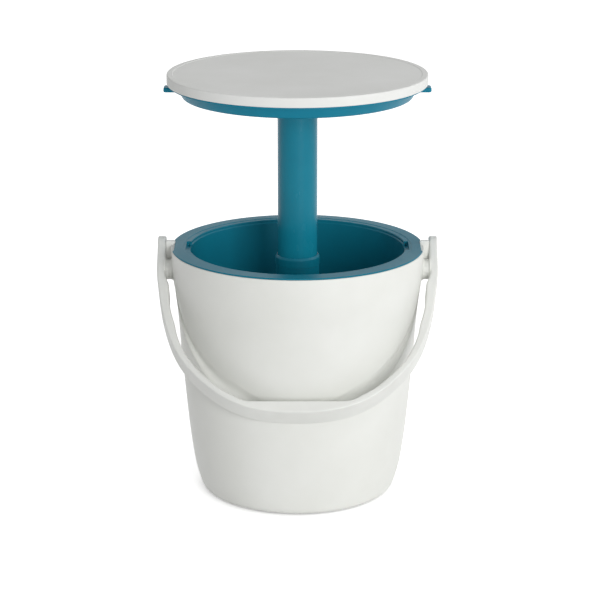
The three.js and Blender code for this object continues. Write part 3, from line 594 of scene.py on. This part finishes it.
def hubPart(side):
    # a hub whose foot flares out into the shell's wall
    form, steps = shellForm, pivotSteps
    radius, reach, flare, bevel = form["hubRadius"], form["hubReach"], form["hubFlare"], form["hubBevel"]
    runOut, runIn = form["hubSink"]
    bends = [2 * math.pi * i / steps for i in range(steps)]
    rows = [(radius + flare + runOut, -runIn), *((radius + out, rise) for out, rise in quarterArc(flare, 9))]
    verts = []
    for out, rise in rows:
        for bend in bends:
            y, z = out * math.cos(bend), pivotHeight + out * math.sin(bend)
            verts.append((side * (math.sqrt(shellRadiusAt(z) ** 2 - y * y) + rise), y, z))
    for out, x in ((radius, reach - bevel), (radius - bevel, reach)):
        verts += [(side * x, out * math.cos(bend), pivotHeight + out * math.sin(bend)) for bend in bends]
    rings = len(rows) + 2
    faces = ringFaces(rings, steps) + [tuple(range((rings - 1) * steps, rings * steps))]
    faces += [(len(verts), i, (i + 1) % steps) for i in range(steps)]
    return [*verts, (side * form["hubRoot"], 0, pivotHeight)], faces


def lugPart(side):
    form = shellForm
    (near, far), (low, high), (front, back) = form["lugReach"], form["lugHeights"], form["lugDepth"]
    (lower, upper), fillet = form["lugFillets"], form["lugRound"]
    corners = [(front, low, lower), (front, high, upper), (back, high, upper), (back, low, lower)]
    outline = roundedOutline(corners, 4)
    rows = [(near, 0), (far - fillet, 0), *((far - off, sink) for off, sink in quarterArc(fillet, 5)[1:])]
    middle = np.array([(front + back) / 2, (low + high) / 2])
    verts = []
    for x, sink in rows:
        for point in outline:
            away = point - middle
            y, z = point - away / np.linalg.norm(away) * sink
            verts.append((side * x, y, z))
    return verts, closedFaces(len(rows), len(outline))


def buildShell():
    form = shellForm
    shell = newObject("bucketShell", shellSkin())
    combined(shell, [lugPart(-1), lugPart(1)], "UNION")
    radius, near, far, flare = form["bossRoom"]
    wide, end = radius + 2 * flare, far + cutPast
    corners = [(0, near), (radius, near), (radius, far, flare), (wide, far), (wide, end), (0, end)]
    room = turnedPart(corners, pivotSteps, 8)
    combined(shell, [moved(room, (0, 0, pivotHeight), turn) for turn in (alongX, alongMinusX)], "DIFFERENCE")
    posts = onRing(cylinderPart(*form["screwPost"]), bodyScrewRing)
    combined(shell, [hubPart(-1), hubPart(1), *posts], "UNION")
    radius, near, far = form["pivotBore"]
    bores = [cylinderPart(radius, -far, -near), cylinderPart(radius, near, far)]
    cuts = [moved(bore, (0, 0, pivotHeight), alongX) for bore in bores]
    seat, seatTop, holeTop = form["screwSeat"]
    hole = [(0, -cutPast), (seat, -cutPast), (seat, seatTop), (screwBore, seatTop), (screwBore, holeTop)]
    cuts += onRing(turnedMesh([*hole, (0, holeTop)], boltSteps), bodyScrewRing)
    radius, depth = form["footRoom"]
    cuts += onRing(cylinderPart(radius, -cutPast, depth, 48), footRing)
    combined(shell, cuts, "DIFFERENCE")
    finishPiece(shell, "shellWhite", "bucket", "outer_shell", 34)


buildShell()
print("bucket shell ready")


linerForm = {
    "rim": reachOf("inner_liner", "z"),
    "flangeRadius": reachOf("inner_liner", "y"),
    "flangeFlat": 164.3,  # where the flange's sides are cut off straight
    "flangeStep": (27, 30),  # and where the cut runs out to the round edge again
    "flangeInner": 158,  # nothing inside this radius is cut
    "flangeUnderside": 334.7,
    "flangeRound": 0.7,
    "dishRadius": 152.3,
    "dishStep": 0.5,
    "landHeight": 336.0,
    "landThickness": 1.8,
    "mouthRadius": 144.4,
    "mouthDepth": 3.2,
    "mouthRound": 1.4,
    "wallTop": 331.6,
    "wallRadius": 143.1,
    "floorRadius": 120,
    "floorHeight": 27,
    "corner": 14,
    "wall": 2.8,
    "notchReach": 148.8,
    "notchHalf": 22,
    "notchFloor": 330.5,
    "notchCut": (9, 8),  # how far its cut runs out into the mouth and above the rim
    "leg": (6, 7.3),  # radius, underside
    "legHole": (2, 22.2),
    "sleeveHole": (20, 32),
}


def buildLiner():
    form = linerForm
    wall, floor, rim, land = form["wall"], form["floorHeight"], form["rim"], form["landHeight"]
    under, dish, mouth = land - form["landThickness"], form["dishRadius"], form["mouthRadius"]
    flange, flangeLow = form["flangeRadius"], form["flangeUnderside"]
    verts, faces = turnedPart([
        (0, floor - wall), (form["floorRadius"] + wall, floor - wall, form["corner"] + wall),
        (form["wallRadius"] + wall, form["wallTop"] - wall, 2), (mouth + wall, under, 1), (dish, under),
        (dish + form["dishStep"], flangeLow), (flange, flangeLow, 0.3), (flange, rim, form["flangeRound"]),
        (dish + 0.1, rim, 0.25), (dish - 0.35, land, 0.25), (mouth, land, form["mouthRound"]),
        (mouth, land - form["mouthDepth"], 0.6), (form["wallRadius"], form["wallTop"], 1.2),
        (form["floorRadius"], floor, form["corner"]), (0, floor),
    ], rimSteps, 6)
    for i, (x, y, z) in enumerate(verts):
        out = math.hypot(x, y)
        if out > form["flangeInner"]:
            line = form["flangeFlat"] / max(abs(x) / out, 1e-6)
            inward = max(0, flange - line) * (1 - softly(abs(y), *form["flangeStep"]))
            share = (out - inward) / out
            verts[i] = (x * share, y * share, z)
    liner = newObject("iceLiner", (verts, faces))
    reach, half, low = form["notchReach"], form["notchHalf"], form["notchFloor"]
    heights = (low - wall, under + form["landThickness"] / 2)
    runIn, runUp = form["notchCut"]
    radius, foot = form["leg"]
    joined = blockPair("x", (mouth + wall / 2, reach + wall), half + wall, heights, 0.8)
    joined += onRing(cylinderPart(radius, foot, floor - wall / 2), bodyScrewRing)
    cuts = blockPair("x", (mouth - runIn, reach), half, (low, rim + runUp), 2, 4)
    cuts += onRing(cylinderPart(screwBore, *form["legHole"]), bodyScrewRing)
    cuts += onRing(cylinderPart(screwBore, *form["sleeveHole"]), sleeveScrewRing)
    combined(liner, joined, "UNION")
    combined(liner, cuts, "DIFFERENCE")
    finishPiece(liner, "linerTeal", "bucket", "inner_liner", 34)


buildLiner()
print("liner ready")


sleeveForm = {
    "bore": 26.9,
    "lowerBore": 28.7,
    "radius": 29,
    "baseRadius": 32,
    "foot": (reachOf("center_sleeve", "x"), 28.8, 34.8),  # radius, underside, top
    "boreStep": 262.3,
    "neck": 10,  # the outside draws in this far above the bore's step
    "spigot": (28.1, 311, 317),  # radius, bottom, top
    "collarRadius": reachOf("sleeve_collar", "x"),
    "collarTop": reachOf("sleeve_collar", "z"),
    "collarFall": 3.4,
    "collarLip": (0.15, 0.7, 3),  # how far it stands in, and its top and bottom below the collar's
    "seam": 0.2,  # between the spigot and the collar
    "keyway": (3, 23.7, 29.55),  # half width, inner and outer reach
    "keywayBottom": 20,
    "screwHole": (20, 34),
    "seal": (33, 44, 27.2, 28.6),  # inner and outer radius, bottom, top
    "dragRing": (26.6, 28.1, 317.9, 320.5),
    "dragRoom": (28.4, 317.6, 320.8),  # radius, bottom, top
}


def ringCorners(inner, outer, low, high, innerRound, outerRound):
    outside = [(outer, low, outerRound), (outer, high, outerRound)]
    return [(inner, low, innerRound), *outside, (inner, high, innerRound)]


def buildSleeve():
    form = sleeveForm
    bore, lowerBore, step = form["bore"], form["lowerBore"], form["boreStep"]
    radius, base = form["radius"], form["baseRadius"]
    foot, footLow, footHigh = form["foot"]
    spigot, spigotLow, spigotHigh = form["spigot"]
    sleeve = newObject("columnSleeve", turnedPart([
        (lowerBore, footLow), (foot, footLow, 0.4), (foot, footHigh, 1.2), (base, footHigh, 3),
        (base, step, 6), (radius, step + form["neck"], 6), (radius, spigotLow, 0.3), (spigot, spigotLow),
        (spigot, spigotHigh, 0.4), (bore, spigotHigh, 0.4), (bore, step, 0.3), (lowerBore, step),
    ], tubeSteps))
    half, near, far = form["keyway"]
    cuts = blockPair("y", (near, far), half, (form["keywayBottom"], step), 0.3)
    cuts += onRing(cylinderPart(screwBore, *form["screwHole"]), sleeveScrewRing)
    combined(sleeve, cuts, "DIFFERENCE")
    finishPiece(sleeve, "linerTeal", "bucket", "center_sleeve")

    top, radius, seam = form["collarTop"], form["collarRadius"], form["seam"]
    lip, lipTop, lipBottom = form["collarLip"]
    room, roomLow, roomHigh = form["dragRoom"]
    low, seat = spigotLow + seam, spigotHigh + 0.3
    collar = newObject("sleeveCollar", turnedPart([
        (spigot + seam, low), (radius, low, 0.4), (radius, top - form["collarFall"], 1.4),
        (bore + 0.9, top, 1.0), (bore - lip, top - lipTop, 0.5), (bore - lip, top - lipBottom, 0.2),
        (bore, roomHigh), (room, roomHigh), (room, roomLow), (bore, roomLow), (bore, seat),
        (spigot + seam, seat),
    ], tubeSteps))
    finishPiece(collar, "linerTeal", "bucket", "sleeve_collar")
    for name, corners, node in (
        ("sleeveSeal", ringCorners(*form["seal"], 0.3, 0.3), "sleeve_gasket"),
        ("dragRing", ringCorners(*form["dragRing"], 0.5, 0.3), "grip_ring"),
    ):
        ring = newObject(name, turnedPart(corners, tubeSteps, 3))
        finishPiece(ring, "footRubber", "bucket", node)


buildSleeve()
print("sleeve ready")


tableForm = {
    "radius": reachOf("table_top", "x"),
    "top": reachOf("table_top", "z"),
    "rimBottom": 557.1,
    "edgeRound": 1.6,
    "borderWidth": 8,
    "deckTop": 569.4,
    "deckUnderside": 566.4,
    "wall": 3.2,
    "skirt": (161.5, 164, 558.8),  # a ring that the pan's edge rests on: inner and outer radius, bottom
    "post": (5, 546.3),  # radius, bottom
    "screwHole": (540, 564.4),
}


def buildTableTop():
    form = tableForm
    radius, top, rim, under = form["radius"], form["top"], form["rimBottom"], form["deckUnderside"]
    inner, border, deck = radius - form["wall"], radius - form["borderWidth"], form["deckTop"]
    skirtInner, skirtOuter, skirtLow = form["skirt"]
    table = newObject("tableTop", turnedPart([
        (0, under), (skirtInner, under, 0.6), (skirtInner, skirtLow, 0.4), (skirtOuter, skirtLow, 0.4),
        (skirtOuter, under, 0.6), (inner, under, 0.8), (inner, rim, 0.4), (radius, rim, 1.2),
        (radius, top, form["edgeRound"]), (border + 0.5, top, 0.5), (border - 0.3, deck, 0.5), (0, deck),
    ], rimSteps))
    post, postLow = form["post"]
    combined(table, onRing(cylinderPart(post, postLow, under + 1), lidScrewRing), "UNION")
    combined(table, onRing(cylinderPart(screwBore, *form["screwHole"]), lidScrewRing), "DIFFERENCE")
    finishPiece(table, "tableWhite", "table", "table_top")


panForm = {
    "bottom": 539.6,
    "floorRadius": 151,
    "shoulderRadius": 158.5,
    "shoulderHeight": 553,
    "flangeRadius": 167.7,
    "flangeUnderside": 554.3,
    "flangeTop": reachOf("lid_pan", "z"),
    "wall": 2.5,
    "socketBore": 26.6,
    "socketOuter": 27.9,
    "socketFlare": (0.5, 4.6, 3.4),  # where it starts to widen, where it ends, and its height
    "socketDepth": 7,
    "hub": (46, 546),  # under the column's head: radius, top
    "bossRadius": 6.7,
    "columnHole": (541, 550),
    "lidHole": (4.7, 530, 543.1, 552),  # room for the head: radius, bottom, top, and the top of the hole
    "tabRoot": 154,
    "tabReach": reachOf("lid_pan", "x"),
    "tabHalf": 11,
    "tabTop": 551.6,
    "tabThickness": 6.3,
    "tabRounds": (3.2, 2),  # of the plan's corners, and of the edges
}


def buildLidPan():
    form = panForm
    bottom, wall, bore, socket = form["bottom"], form["wall"], form["socketBore"], form["socketOuter"]
    flareStart, flareEnd, flareHeight = form["socketFlare"]
    floor, shoulder, shoulderHigh = form["floorRadius"], form["shoulderRadius"], form["shoulderHeight"]
    flange, flangeLow, flangeTop = form["flangeRadius"], form["flangeUnderside"], form["flangeTop"]
    foot = bottom - form["socketDepth"]
    hub, hubTop = form["hub"]
    pan = newObject("lidPan", turnedPart([
        (bore, foot, 0.2), (socket, foot, 0.4), (socket + flareStart, bottom - flareHeight, 6),
        (socket + flareEnd, bottom, 3.4), (floor, bottom, 3.5), (shoulder, shoulderHigh, 2.2),
        (shoulder + 1.4, flangeLow, 0.6), (flange, flangeLow, 0.5), (flange, flangeTop, 0.3),
        (shoulder, flangeTop, 1), (shoulder - wall, shoulderHigh + wall, 2), (floor - wall, bottom + wall, 3),
        (hub, bottom + wall, 1), (hub, hubTop, 0.6), (bore, hubTop, 0.3),
    ], rimSteps))
    bosses = onRing(cylinderPart(form["bossRadius"], bottom + 0.2, hubTop), lidScrewRing)
    radius, low, seat, high = form["lidHole"]
    hole = [(0, low), (radius, low), (radius, seat), (screwBore, seat), (screwBore, high), (0, high)]
    cuts = onRing(cylinderPart(screwBore, *form["columnHole"]), columnScrewRing)
    cuts += onRing(turnedMesh(hole, boltSteps), lidScrewRing)
    combined(pan, [tabPart(-1), tabPart(1), *bosses], "UNION")
    combined(pan, cuts, "DIFFERENCE")
    finishPiece(pan, "panTeal", "table", "lid_pan", 34)


def tabPart(side):
    # a finger tab: a plate with a rounded plan and soft edges
    half, top = panForm["tabHalf"], panForm["tabTop"]
    near, far = sorted((side * panForm["tabRoot"], side * panForm["tabReach"]))
    form = cubeForm((near, -half, top - panForm["tabThickness"]), (far, half, top))

    def rise(edge):
        return abs(edge.verts[0].co.z - edge.verts[1].co.z)

    planRound, edgeRound = panForm["tabRounds"]
    middle = (near + far) / 2
    outer = [
        edge for edge in form.edges if rise(edge) > 1 and all(side * (v.co.x - middle) > 0 for v in edge.verts)
    ]
    bevelled(form, outer, planRound, 6)
    bevelled(form, [edge for edge in form.edges if rise(edge) < 1e-4], edgeRound, 4)
    return partOf(form)


columnForm = {
    "bore": 23.4,
    "radius": 26.4,
    "bottom": 248.3,
    "headRadius": reachOf("column_tube", "x"),
    "headBottom": 546.3,
    "headTop": reachOf("column_tube", "z"),
    "screwHole": (540, 556),
}

guideForm = {
    "radius": 28.2,
    "bottom": 245,
    "top": 262,
    "floor": 248,
    "socket": 26.7,  # holds the column's end
    "plug": (23.1, 20.1, 260),  # outer and inner radius, top
    "key": (2.7, 27.4, 29.3),  # half width, inner and outer reach
}


def buildColumn():
    form = columnForm
    bore, radius, bottom = form["bore"], form["radius"], form["bottom"]
    head, headLow, headTop = form["headRadius"], form["headBottom"], form["headTop"]
    column = newObject("columnTube", turnedPart([
        (bore, bottom, 0.3), (radius, bottom, 0.5), (radius, headLow, 0.2), (head, headLow, 0.4),
        (head, headTop, 0.6), (bore, headTop, 0.4),
    ], tubeSteps))
    combined(column, onRing(cylinderPart(screwBore, *form["screwHole"]), columnScrewRing), "DIFFERENCE")
    finishPiece(column, "columnTeal", "table", "column_tube")

    form = guideForm
    radius, bottom, top, floor, socket = (form[key] for key in ("radius", "bottom", "top", "floor", "socket"))
    plug, plugInner, plugTop = form["plug"]
    guide = newObject("columnGuide", turnedPart([
        (0, bottom), (radius, bottom, 0.8), (radius, top, 0.4), (socket, top, 0.2), (socket, floor, 0.3),
        (plug, floor, 0.2), (plug, plugTop, 0.6), (plugInner, plugTop, 0.6), (plugInner, floor, 0.4),
        (0, floor),
    ], tubeSteps))
    half, near, far = form["key"]
    combined(guide, blockPair("y", (near, far), half, (bottom, top), 0.4), "UNION")
    finishPiece(guide, "nylonCream", "table", "column_guide")


buildTableTop()
buildLidPan()
buildColumn()
print("table, pan and column ready")


handleForm = {
    "halfSpan": reachOf("carrying_handle", "x"),
    "drop": 226,
    "earThickness": 11.1,
    "earRise": 49.8,
    "earStraight": 15.5,  # how far below the pivot the ear's inner face stays straight
    "width": 33,
    "gripThickness": 17.5,
    "outerRound": 2.3,
    "innerRound": 3.2,
    "outerArchShares": [  # of the half span and of the drop
        (0.9998, 0.04), (0.9945, 0.105), (0.984, 0.171), (0.959, 0.305), (0.919, 0.4425), (0.864, 0.568),
        (0.786, 0.681), (0.641, 0.814), (0.492, 0.908), (0.338, 0.965), (0.16, 0.994),
    ],
    "innerArchShares": [
        (0.926, 0.108), (0.9115, 0.14), (0.9065, 0.2), (0.903, 0.2545), (0.8865, 0.332), (0.8575, 0.42),
        (0.84, 0.488), (0.785, 0.604), (0.702, 0.705), (0.625, 0.771), (0.527, 0.8425), (0.44, 0.886),
    ],
    "gripHalf": 68,
    "gripEase": ((4, 2.1), (-5, 0.15)),  # past the grip's end, and above its top, where the arch runs into it
    "earRows": 14,
    "strapRows": 103,
    "bossReach": 172.3,
    "bossRadius": 13.5,
    "bossFlare": 4,
    "bossSink": 2,
    "pinHole": (6.5, 5),  # radius, and how far it starts before the boss
    "pinHeadRoom": (11.5, 3.5),  # radius, depth
}


def handleSections():
    form = handleForm
    span, drop, rise, width = form["halfSpan"], form["drop"], form["earRise"], form["width"]
    ear, gripHalf, grip = form["earThickness"], form["gripHalf"], form["gripThickness"] - drop

    def atEar(across):
        return [(across, rise), (across, rise * 0.5), (across, 0)]

    def arch(shares):
        return [(a * span, -b * drop) for a, b in shares]

    lastAcross, lastDown = form["outerArchShares"][-1]
    outer = atEar(span) + arch([*form["outerArchShares"], (0, 1), (-lastAcross, lastDown)])
    outerPath = smoothPath(outer, 14)
    inner = [*atEar(span - ear), (span - ear, -form["earStraight"]), *arch(form["innerArchShares"])]
    inner += [(gripHalf + past, grip + up) for past, up in form["gripEase"]]
    innerPath = np.vstack([smoothPath(inner, 10), [(-gripHalf, grip)]])
    lengths = lengthsAlong(outerPath)

    def outerSpot(reach):
        return np.array([np.interp(reach, lengths, line) for line in outerPath.T])

    # rows down the outside to the middle of the grip, closest round the ear
    middle = np.interp(0, -outerPath[:, 0], lengths)
    earRound, edge = width / 2, form["outerRound"]
    earDrops = earRound * (1 - np.sin(np.linspace(math.radians(86), 0, form["earRows"])))
    rest = np.linspace(earRound, middle, form["strapRows"] + 1)[1:]
    sections = []
    for reach in [*earDrops, *rest]:
        spot = outerSpot(reach)
        run = outerSpot(reach + 1) - outerSpot(reach - 1) if reach > 1 else np.array([0, -1.0])
        run = run / np.linalg.norm(run)
        if reach >= middle - 1e-6:
            run = np.array([-1.0, 0])
        inward = np.array([run[1], -run[0]])
        if inward[0] > 0 and spot[0] > 1:
            inward = -inward
        thicknesses = []
        for a, b in zip(innerPath[:-1], innerPath[1:]):
            grid = np.array([[inward[0], a[0] - b[0]], [inward[1], a[1] - b[1]]])
            if abs(np.linalg.det(grid)) < 1e-9:
                continue
            far, share = np.linalg.solve(grid, a - spot)
            if -1e-6 <= share <= 1 + 1e-6 and far > 1:
                thicknesses.append(far)
        across, sink = width, 0
        if reach < earRound:
            across = 2 * math.sqrt(max(earRound**2 - (earRound - reach) ** 2, 0))
            if reach < edge:
                sink = edge - math.sqrt(edge**2 - (edge - reach) ** 2)
        sections.append((spot, inward, min(thicknesses, default=ear), across, sink))
    return sections


def sectionRing(spot, inward, thickness, width, sink):
    # a rounded rectangle across the strap
    outerRound, innerRound = (
        min(handleForm[name], width * 0.45, thickness * 0.45) for name in ("outerRound", "innerRound")
    )
    near, far, half = sink, thickness - sink, width / 2
    corners = [
        (near + outerRound, half - outerRound, outerRound, 90),
        (near + outerRound, outerRound - half, outerRound, 180),
        (far - innerRound, innerRound - half, innerRound, 270),
        (far - innerRound, half - innerRound, innerRound, 0),
    ]
    points = []
    for a, b, fillet, start in corners:
        for k in range(6):
            bend = math.radians(start + k * 18)
            place = spot + inward * (a + fillet * math.cos(bend))
            points.append((place[0], b + fillet * math.sin(bend), place[1]))
    return points


def buildHandle():
    form = handleForm
    right = [sectionRing(*section) for section in handleSections()]
    rings = right + [[(-x, y, z) for x, y, z in ring] for ring in reversed(right[:-1])]
    verts = [v for ring in rings for v in ring]
    handle = newObject("carryingHandle", (verts, closedFaces(len(rings), len(rings[0]))))
    span = form["halfSpan"]
    inner = span - form["earThickness"]
    radius, flare, reach = form["bossRadius"], form["bossFlare"], form["bossReach"]
    wide, root = radius + flare + 0.4, inner + form["bossSink"]
    boss = turnedPart([
        (0, reach), (radius, reach, 0.12), (radius, inner, flare), (wide, inner + 0.02), (wide, root),
        (0, root),
    ], pivotSteps, 8)
    bore, before = form["pinHole"]
    room, depth = form["pinHeadRoom"]
    start, seat, end = reach - before, span - depth, span + cutPast
    hole = turnedMesh([
        (0, start), (bore, start), (bore, seat), (room, seat), (room, span - 0.5), (room + 0.5, span + 0.02),
        (room + 0.5, end), (0, end),
    ], pivotSteps)
    for part, operation in ((boss, "UNION"), (hole, "DIFFERENCE")):
        combined(handle, [moved(part, turn=alongX), moved(part, turn=alongMinusX)], operation)
    handle.data.transform(Matrix.Translation((0, 0, pivotHeight * mm)) @ Matrix.Rotation(-tilt, 4, "X"))
    finishPiece(handle, "handleWhite", "handle", "carrying_handle", 34)


buildHandle()
print("handle ready")


screwForm = {
    "headRadius": 4.2,
    "headHeight": 2.5,
    "neck": (1.9, 1.2),  # radius, height
    "threadRadius": (1.55, 2),  # at the thread's foot and crest
    "threadStart": 1.6,
    "pitch": 0.9,
    "point": 2.4,
    "slot": (1.3, 2.2, 0.8),  # depth, reach and width of the cross
}

screwRows = {  # how far out, length, height of the head's underside, body, upside down
    "body": (bodyScrewRing, 15, 3.6, "bucket", False),
    "sleeve": (sleeveScrewRing, 8.5, 23.9, "bucket", False),
    "column": (columnScrewRing, 8.2, 549.6, "table", True),
    "lid": (lidScrewRing, 14, 542.8, "table", False),
}


def screwPart(length):
    # stands on its head, with the head's underside at zero and a thread up to its tip
    head, rise = screwForm["headRadius"], screwForm["headHeight"]
    foot, crest = screwForm["threadRadius"]
    neck, neckTop = screwForm["neck"]
    outline = [(0, -rise), (head - 1, -rise, 0.8), (head, -rise / 2, 0.8), (head, 0, 0.3), (neck, 0, 0.2)]
    outline.append((neck, neckTop))
    height = screwForm["threadStart"]
    while height < length - screwForm["point"]:
        outline += [(foot, height), (crest, height + screwForm["pitch"] / 2)]
        height += screwForm["pitch"]
    outline += [(foot, height), (0.4, length - 0.2), (0, length)]
    return turnedPart(outline, 20, 3)


def buildScrews():
    depth, reach, width = screwForm["slot"]
    slot = roundedBlock((-reach, -width / 2, -depth), (reach, width / 2, depth), 0)
    for row, (ring, length, height, body, flip) in screwRows.items():
        for i, (x, y) in enumerate(placesOnRing(ring)):
            screw = newObject(f"{row}Screw{i + 1}", screwPart(length))
            for bend in (0, math.pi / 2):
                cut = moved(slot, (0, 0, -screwForm["headHeight"]), Matrix.Rotation(bend, 4, "Z"))
                combined(screw, [cut], "DIFFERENCE")
            turn = Matrix.Rotation(math.pi, 4, "X") if flip else Matrix.Identity(4)
            screw.data.transform(Matrix.Translation((x * mm, y * mm, height * mm)) @ turn)
            finishPiece(screw, "zincSteel", body, f"{row}_screw_{i + 1}", 40)


pivotForm = {  # everything lies along the handle's axis, measured from the bucket's axis
    "pin": (6, 151.6, 184.5),  # radius, inner end, underside of the head
    "pinHead": (11, 186.7, 187.4),  # radius, edge, crown
    "washer": (6.3, 13.45, 170.92, 172.23),  # inner and outer radius, ends
    "clip": (6.1, 10, 154.4, 157.2),
}

footForm = {
    "radius": 11,
    "height": 2.2,
    "treads": ((4, 6.2), (8.4, 11)),  # the rings that stand on the floor
    "treadHeight": 0.4,
}


def buildPivots():
    radius, inner, under = pivotForm["pin"]
    head, edge, crown = pivotForm["pinHead"]
    pinCorners = [
        (0, inner), (radius, inner, 0.8), (radius, under), (head, under, 0.3), (head, edge, 0.8),
        (head - 2.6, crown - 0.25, 2), (0, crown),
    ]
    washerCorners = ringCorners(*pivotForm["washer"], 0.1, 0.1)
    clipCorners = ringCorners(*pivotForm["clip"], 0.4, 0.5)
    for side, turn in (("Right", alongX), ("Left", alongMinusX)):
        for name, node, corners, steps, filletSteps, finish, slot in (
            ("pivotPin", "pivot_pin_", pinCorners, 48, 4, "handleWhite", "white_plastic"),
            ("pivotWasher", "pivot_washer_", washerCorners, pivotSteps, 2, "handleWhite", "nylon"),
            ("pivotClip", "pivot_clip_", clipCorners, 48, 2, "zincSteel", "steel"),
        ):
            piece = newObject(name + side, turnedPart(corners, steps, filletSteps))
            piece.data.transform(Matrix.Translation((0, 0, pivotHeight * mm)) @ turn)
            finishPiece(piece, finish, "bucket", node + side.lower())


def buildFeet():
    radius, height, rise = footForm["radius"], footForm["height"], footForm["treadHeight"]
    (one, two), (three, four) = footForm["treads"]
    for i, (x, y) in enumerate(placesOnRing(footRing)):
        foot = newObject(f"rubberFoot{i + 1}", turnedPart([
            (0, rise), (one - 0.4, rise, 0.2), (one, 0, 0.2), (two, 0, 0.2), (two + 0.4, rise, 0.2),
            (three - 0.4, rise, 0.2), (three, 0, 0.2), (four, 0, 0.5), (radius, height, 0.2), (0, height),
        ], 48, 2))
        foot.data.transform(Matrix.Translation((x * mm, y * mm, 0)))
        finishPiece(foot, "footRubber", "bucket", f"foot_{i + 1}")


buildPivots()
buildFeet()
buildScrews()
print("pivots, feet and screws ready")


studio = {  # in metres
    "floorHalf": 6,
    "floorDrop": 0.0002,
    "floorColor": 0.86,
    "floorGlowWithPaintedShade": ((0.121, 0.25), (0.128, 0.42), (0.142, 0.62), (0.25, 0.8)),  # distance, strength; weaker near the bucket's foot, which paints shade round its base
    "worldLight": 0.457,
    "lamps": {  # place, size, power
        "keyLight": ((1.405, -3.86, 1.173), (1.6, 1.8), 79),
        "sideLight": ((3.637, 0, 2.4), (1.6, 1.8), 39),
    },
    "aim": (0, 0, 0.28),
    "camera": (0.0033, -2.9843, 1.1253),
    "cameraPitch": math.pi / 2 - 0.2822,
    "cameraLens": 138.46,
}


def aimAt(thing, spot):
    thing.rotation_euler = (Vector(spot) - thing.location).to_track_quat("-Z", "Y").to_euler()


def whereSeen(tree, unseen, seen, output):
    # one shader for what the camera, gloss and glass see, and another for the light it gives
    rays = addNode(tree, "ShaderNodeLightPath", (-400, 300))
    direct = addNode(tree, "ShaderNodeMath", (-200, 300), {
        0: (rays, "Is Camera Ray"), 1: (rays, "Is Glossy Ray"),
    }, operation="MAXIMUM")
    through = addNode(tree, "ShaderNodeMath", (0, 300), {
        0: (direct, 0), 1: (rays, "Is Transmission Ray"),
    }, operation="MAXIMUM")
    pick = addNode(tree, "ShaderNodeMixShader", (400, 0), {0: (through, 0), 1: (unseen, 0), 2: (seen, 0)})
    addNode(tree, output, (600, 0), {"Surface": (pick, 0)})


def buildFloor():
    half, level = studio["floorHalf"], studio["floorColor"]
    corners = [(-half, -half, 0), (half, -half, 0), (half, half, 0), (-half, half, 0)]
    mesh = bpy.data.meshes.new("studioFloor")
    mesh.from_pydata(corners, [], [(0, 1, 2, 3)])
    floor = bpy.data.objects.new("studioFloor", mesh)
    bpy.context.scene.collection.objects.link(floor)
    floor.location.z = -studio["floorDrop"]
    material = bpy.data.materials.new("studioFloor")
    material.use_nodes = True
    tree = material.node_tree
    tree.nodes.clear()
    plain = addNode(tree, "ShaderNodeBsdfDiffuse", (0, -100), {"Color": (level, level, level, 1)})
    spot = addNode(tree, "ShaderNodeTexCoord", (-900, 100))
    reach = addNode(tree, "ShaderNodeVectorMath", (-700, 100), {0: (spot, "Object")}, operation="LENGTH")
    # the glow dims towards the bucket's foot: painted shade round the base, beside the lamps' real shadow
    paintedShadeFade = addNode(tree, "ShaderNodeValToRGB", (-500, 100), {"Fac": (reach, "Value")})
    stops = paintedShadeFade.color_ramp.elements
    for share in (0.3, 0.6):
        stops.new(share)
    for stop, (distance, strength) in zip(stops, studio["floorGlowWithPaintedShade"]):
        stop.position, stop.color = distance, (strength, strength, strength, 1)
    glow = addNode(tree, "ShaderNodeEmission", (0, 100), {"Strength": (paintedShadeFade, "Color")})
    lit = addNode(tree, "ShaderNodeAddShader", (200, 0), {0: (plain, 0), 1: (glow, 0)})
    whereSeen(tree, plain, lit, "ShaderNodeOutputMaterial")
    mesh.materials.append(material)


def buildLight():
    world = bpy.data.worlds.new("studioWorld")
    bpy.context.scene.world = world
    world.use_nodes = True
    tree = world.node_tree
    tree.nodes.clear()
    white = (1, 1, 1, 1)
    soft = addNode(tree, "ShaderNodeBackground", (0, 0), {"Color": white, "Strength": studio["worldLight"]})
    bright = addNode(tree, "ShaderNodeBackground", (0, -150), {"Color": white})
    whereSeen(tree, soft, bright, "ShaderNodeOutputWorld")
    for name, (place, size, power) in studio["lamps"].items():
        lamp = bpy.data.lights.new(name, "AREA")
        lamp.shape = "RECTANGLE"
        lamp.size, lamp.size_y = size
        lamp.energy = power
        light = bpy.data.objects.new(name, lamp)
        light.location = place
        bpy.context.scene.collection.objects.link(light)
        aimAt(light, studio["aim"])


def buildCamera():
    data = bpy.data.cameras.new("camera")
    data.lens = studio["cameraLens"]
    camera = bpy.data.objects.new("camera", data)
    camera.location = studio["camera"]
    camera.rotation_euler = (studio["cameraPitch"], 0, 0)
    bpy.context.scene.collection.objects.link(camera)
    bpy.context.scene.camera = camera


buildFloor()
buildLight()
buildCamera()
bpy.context.scene.view_settings.view_transform = "Standard"
print("studio ready")
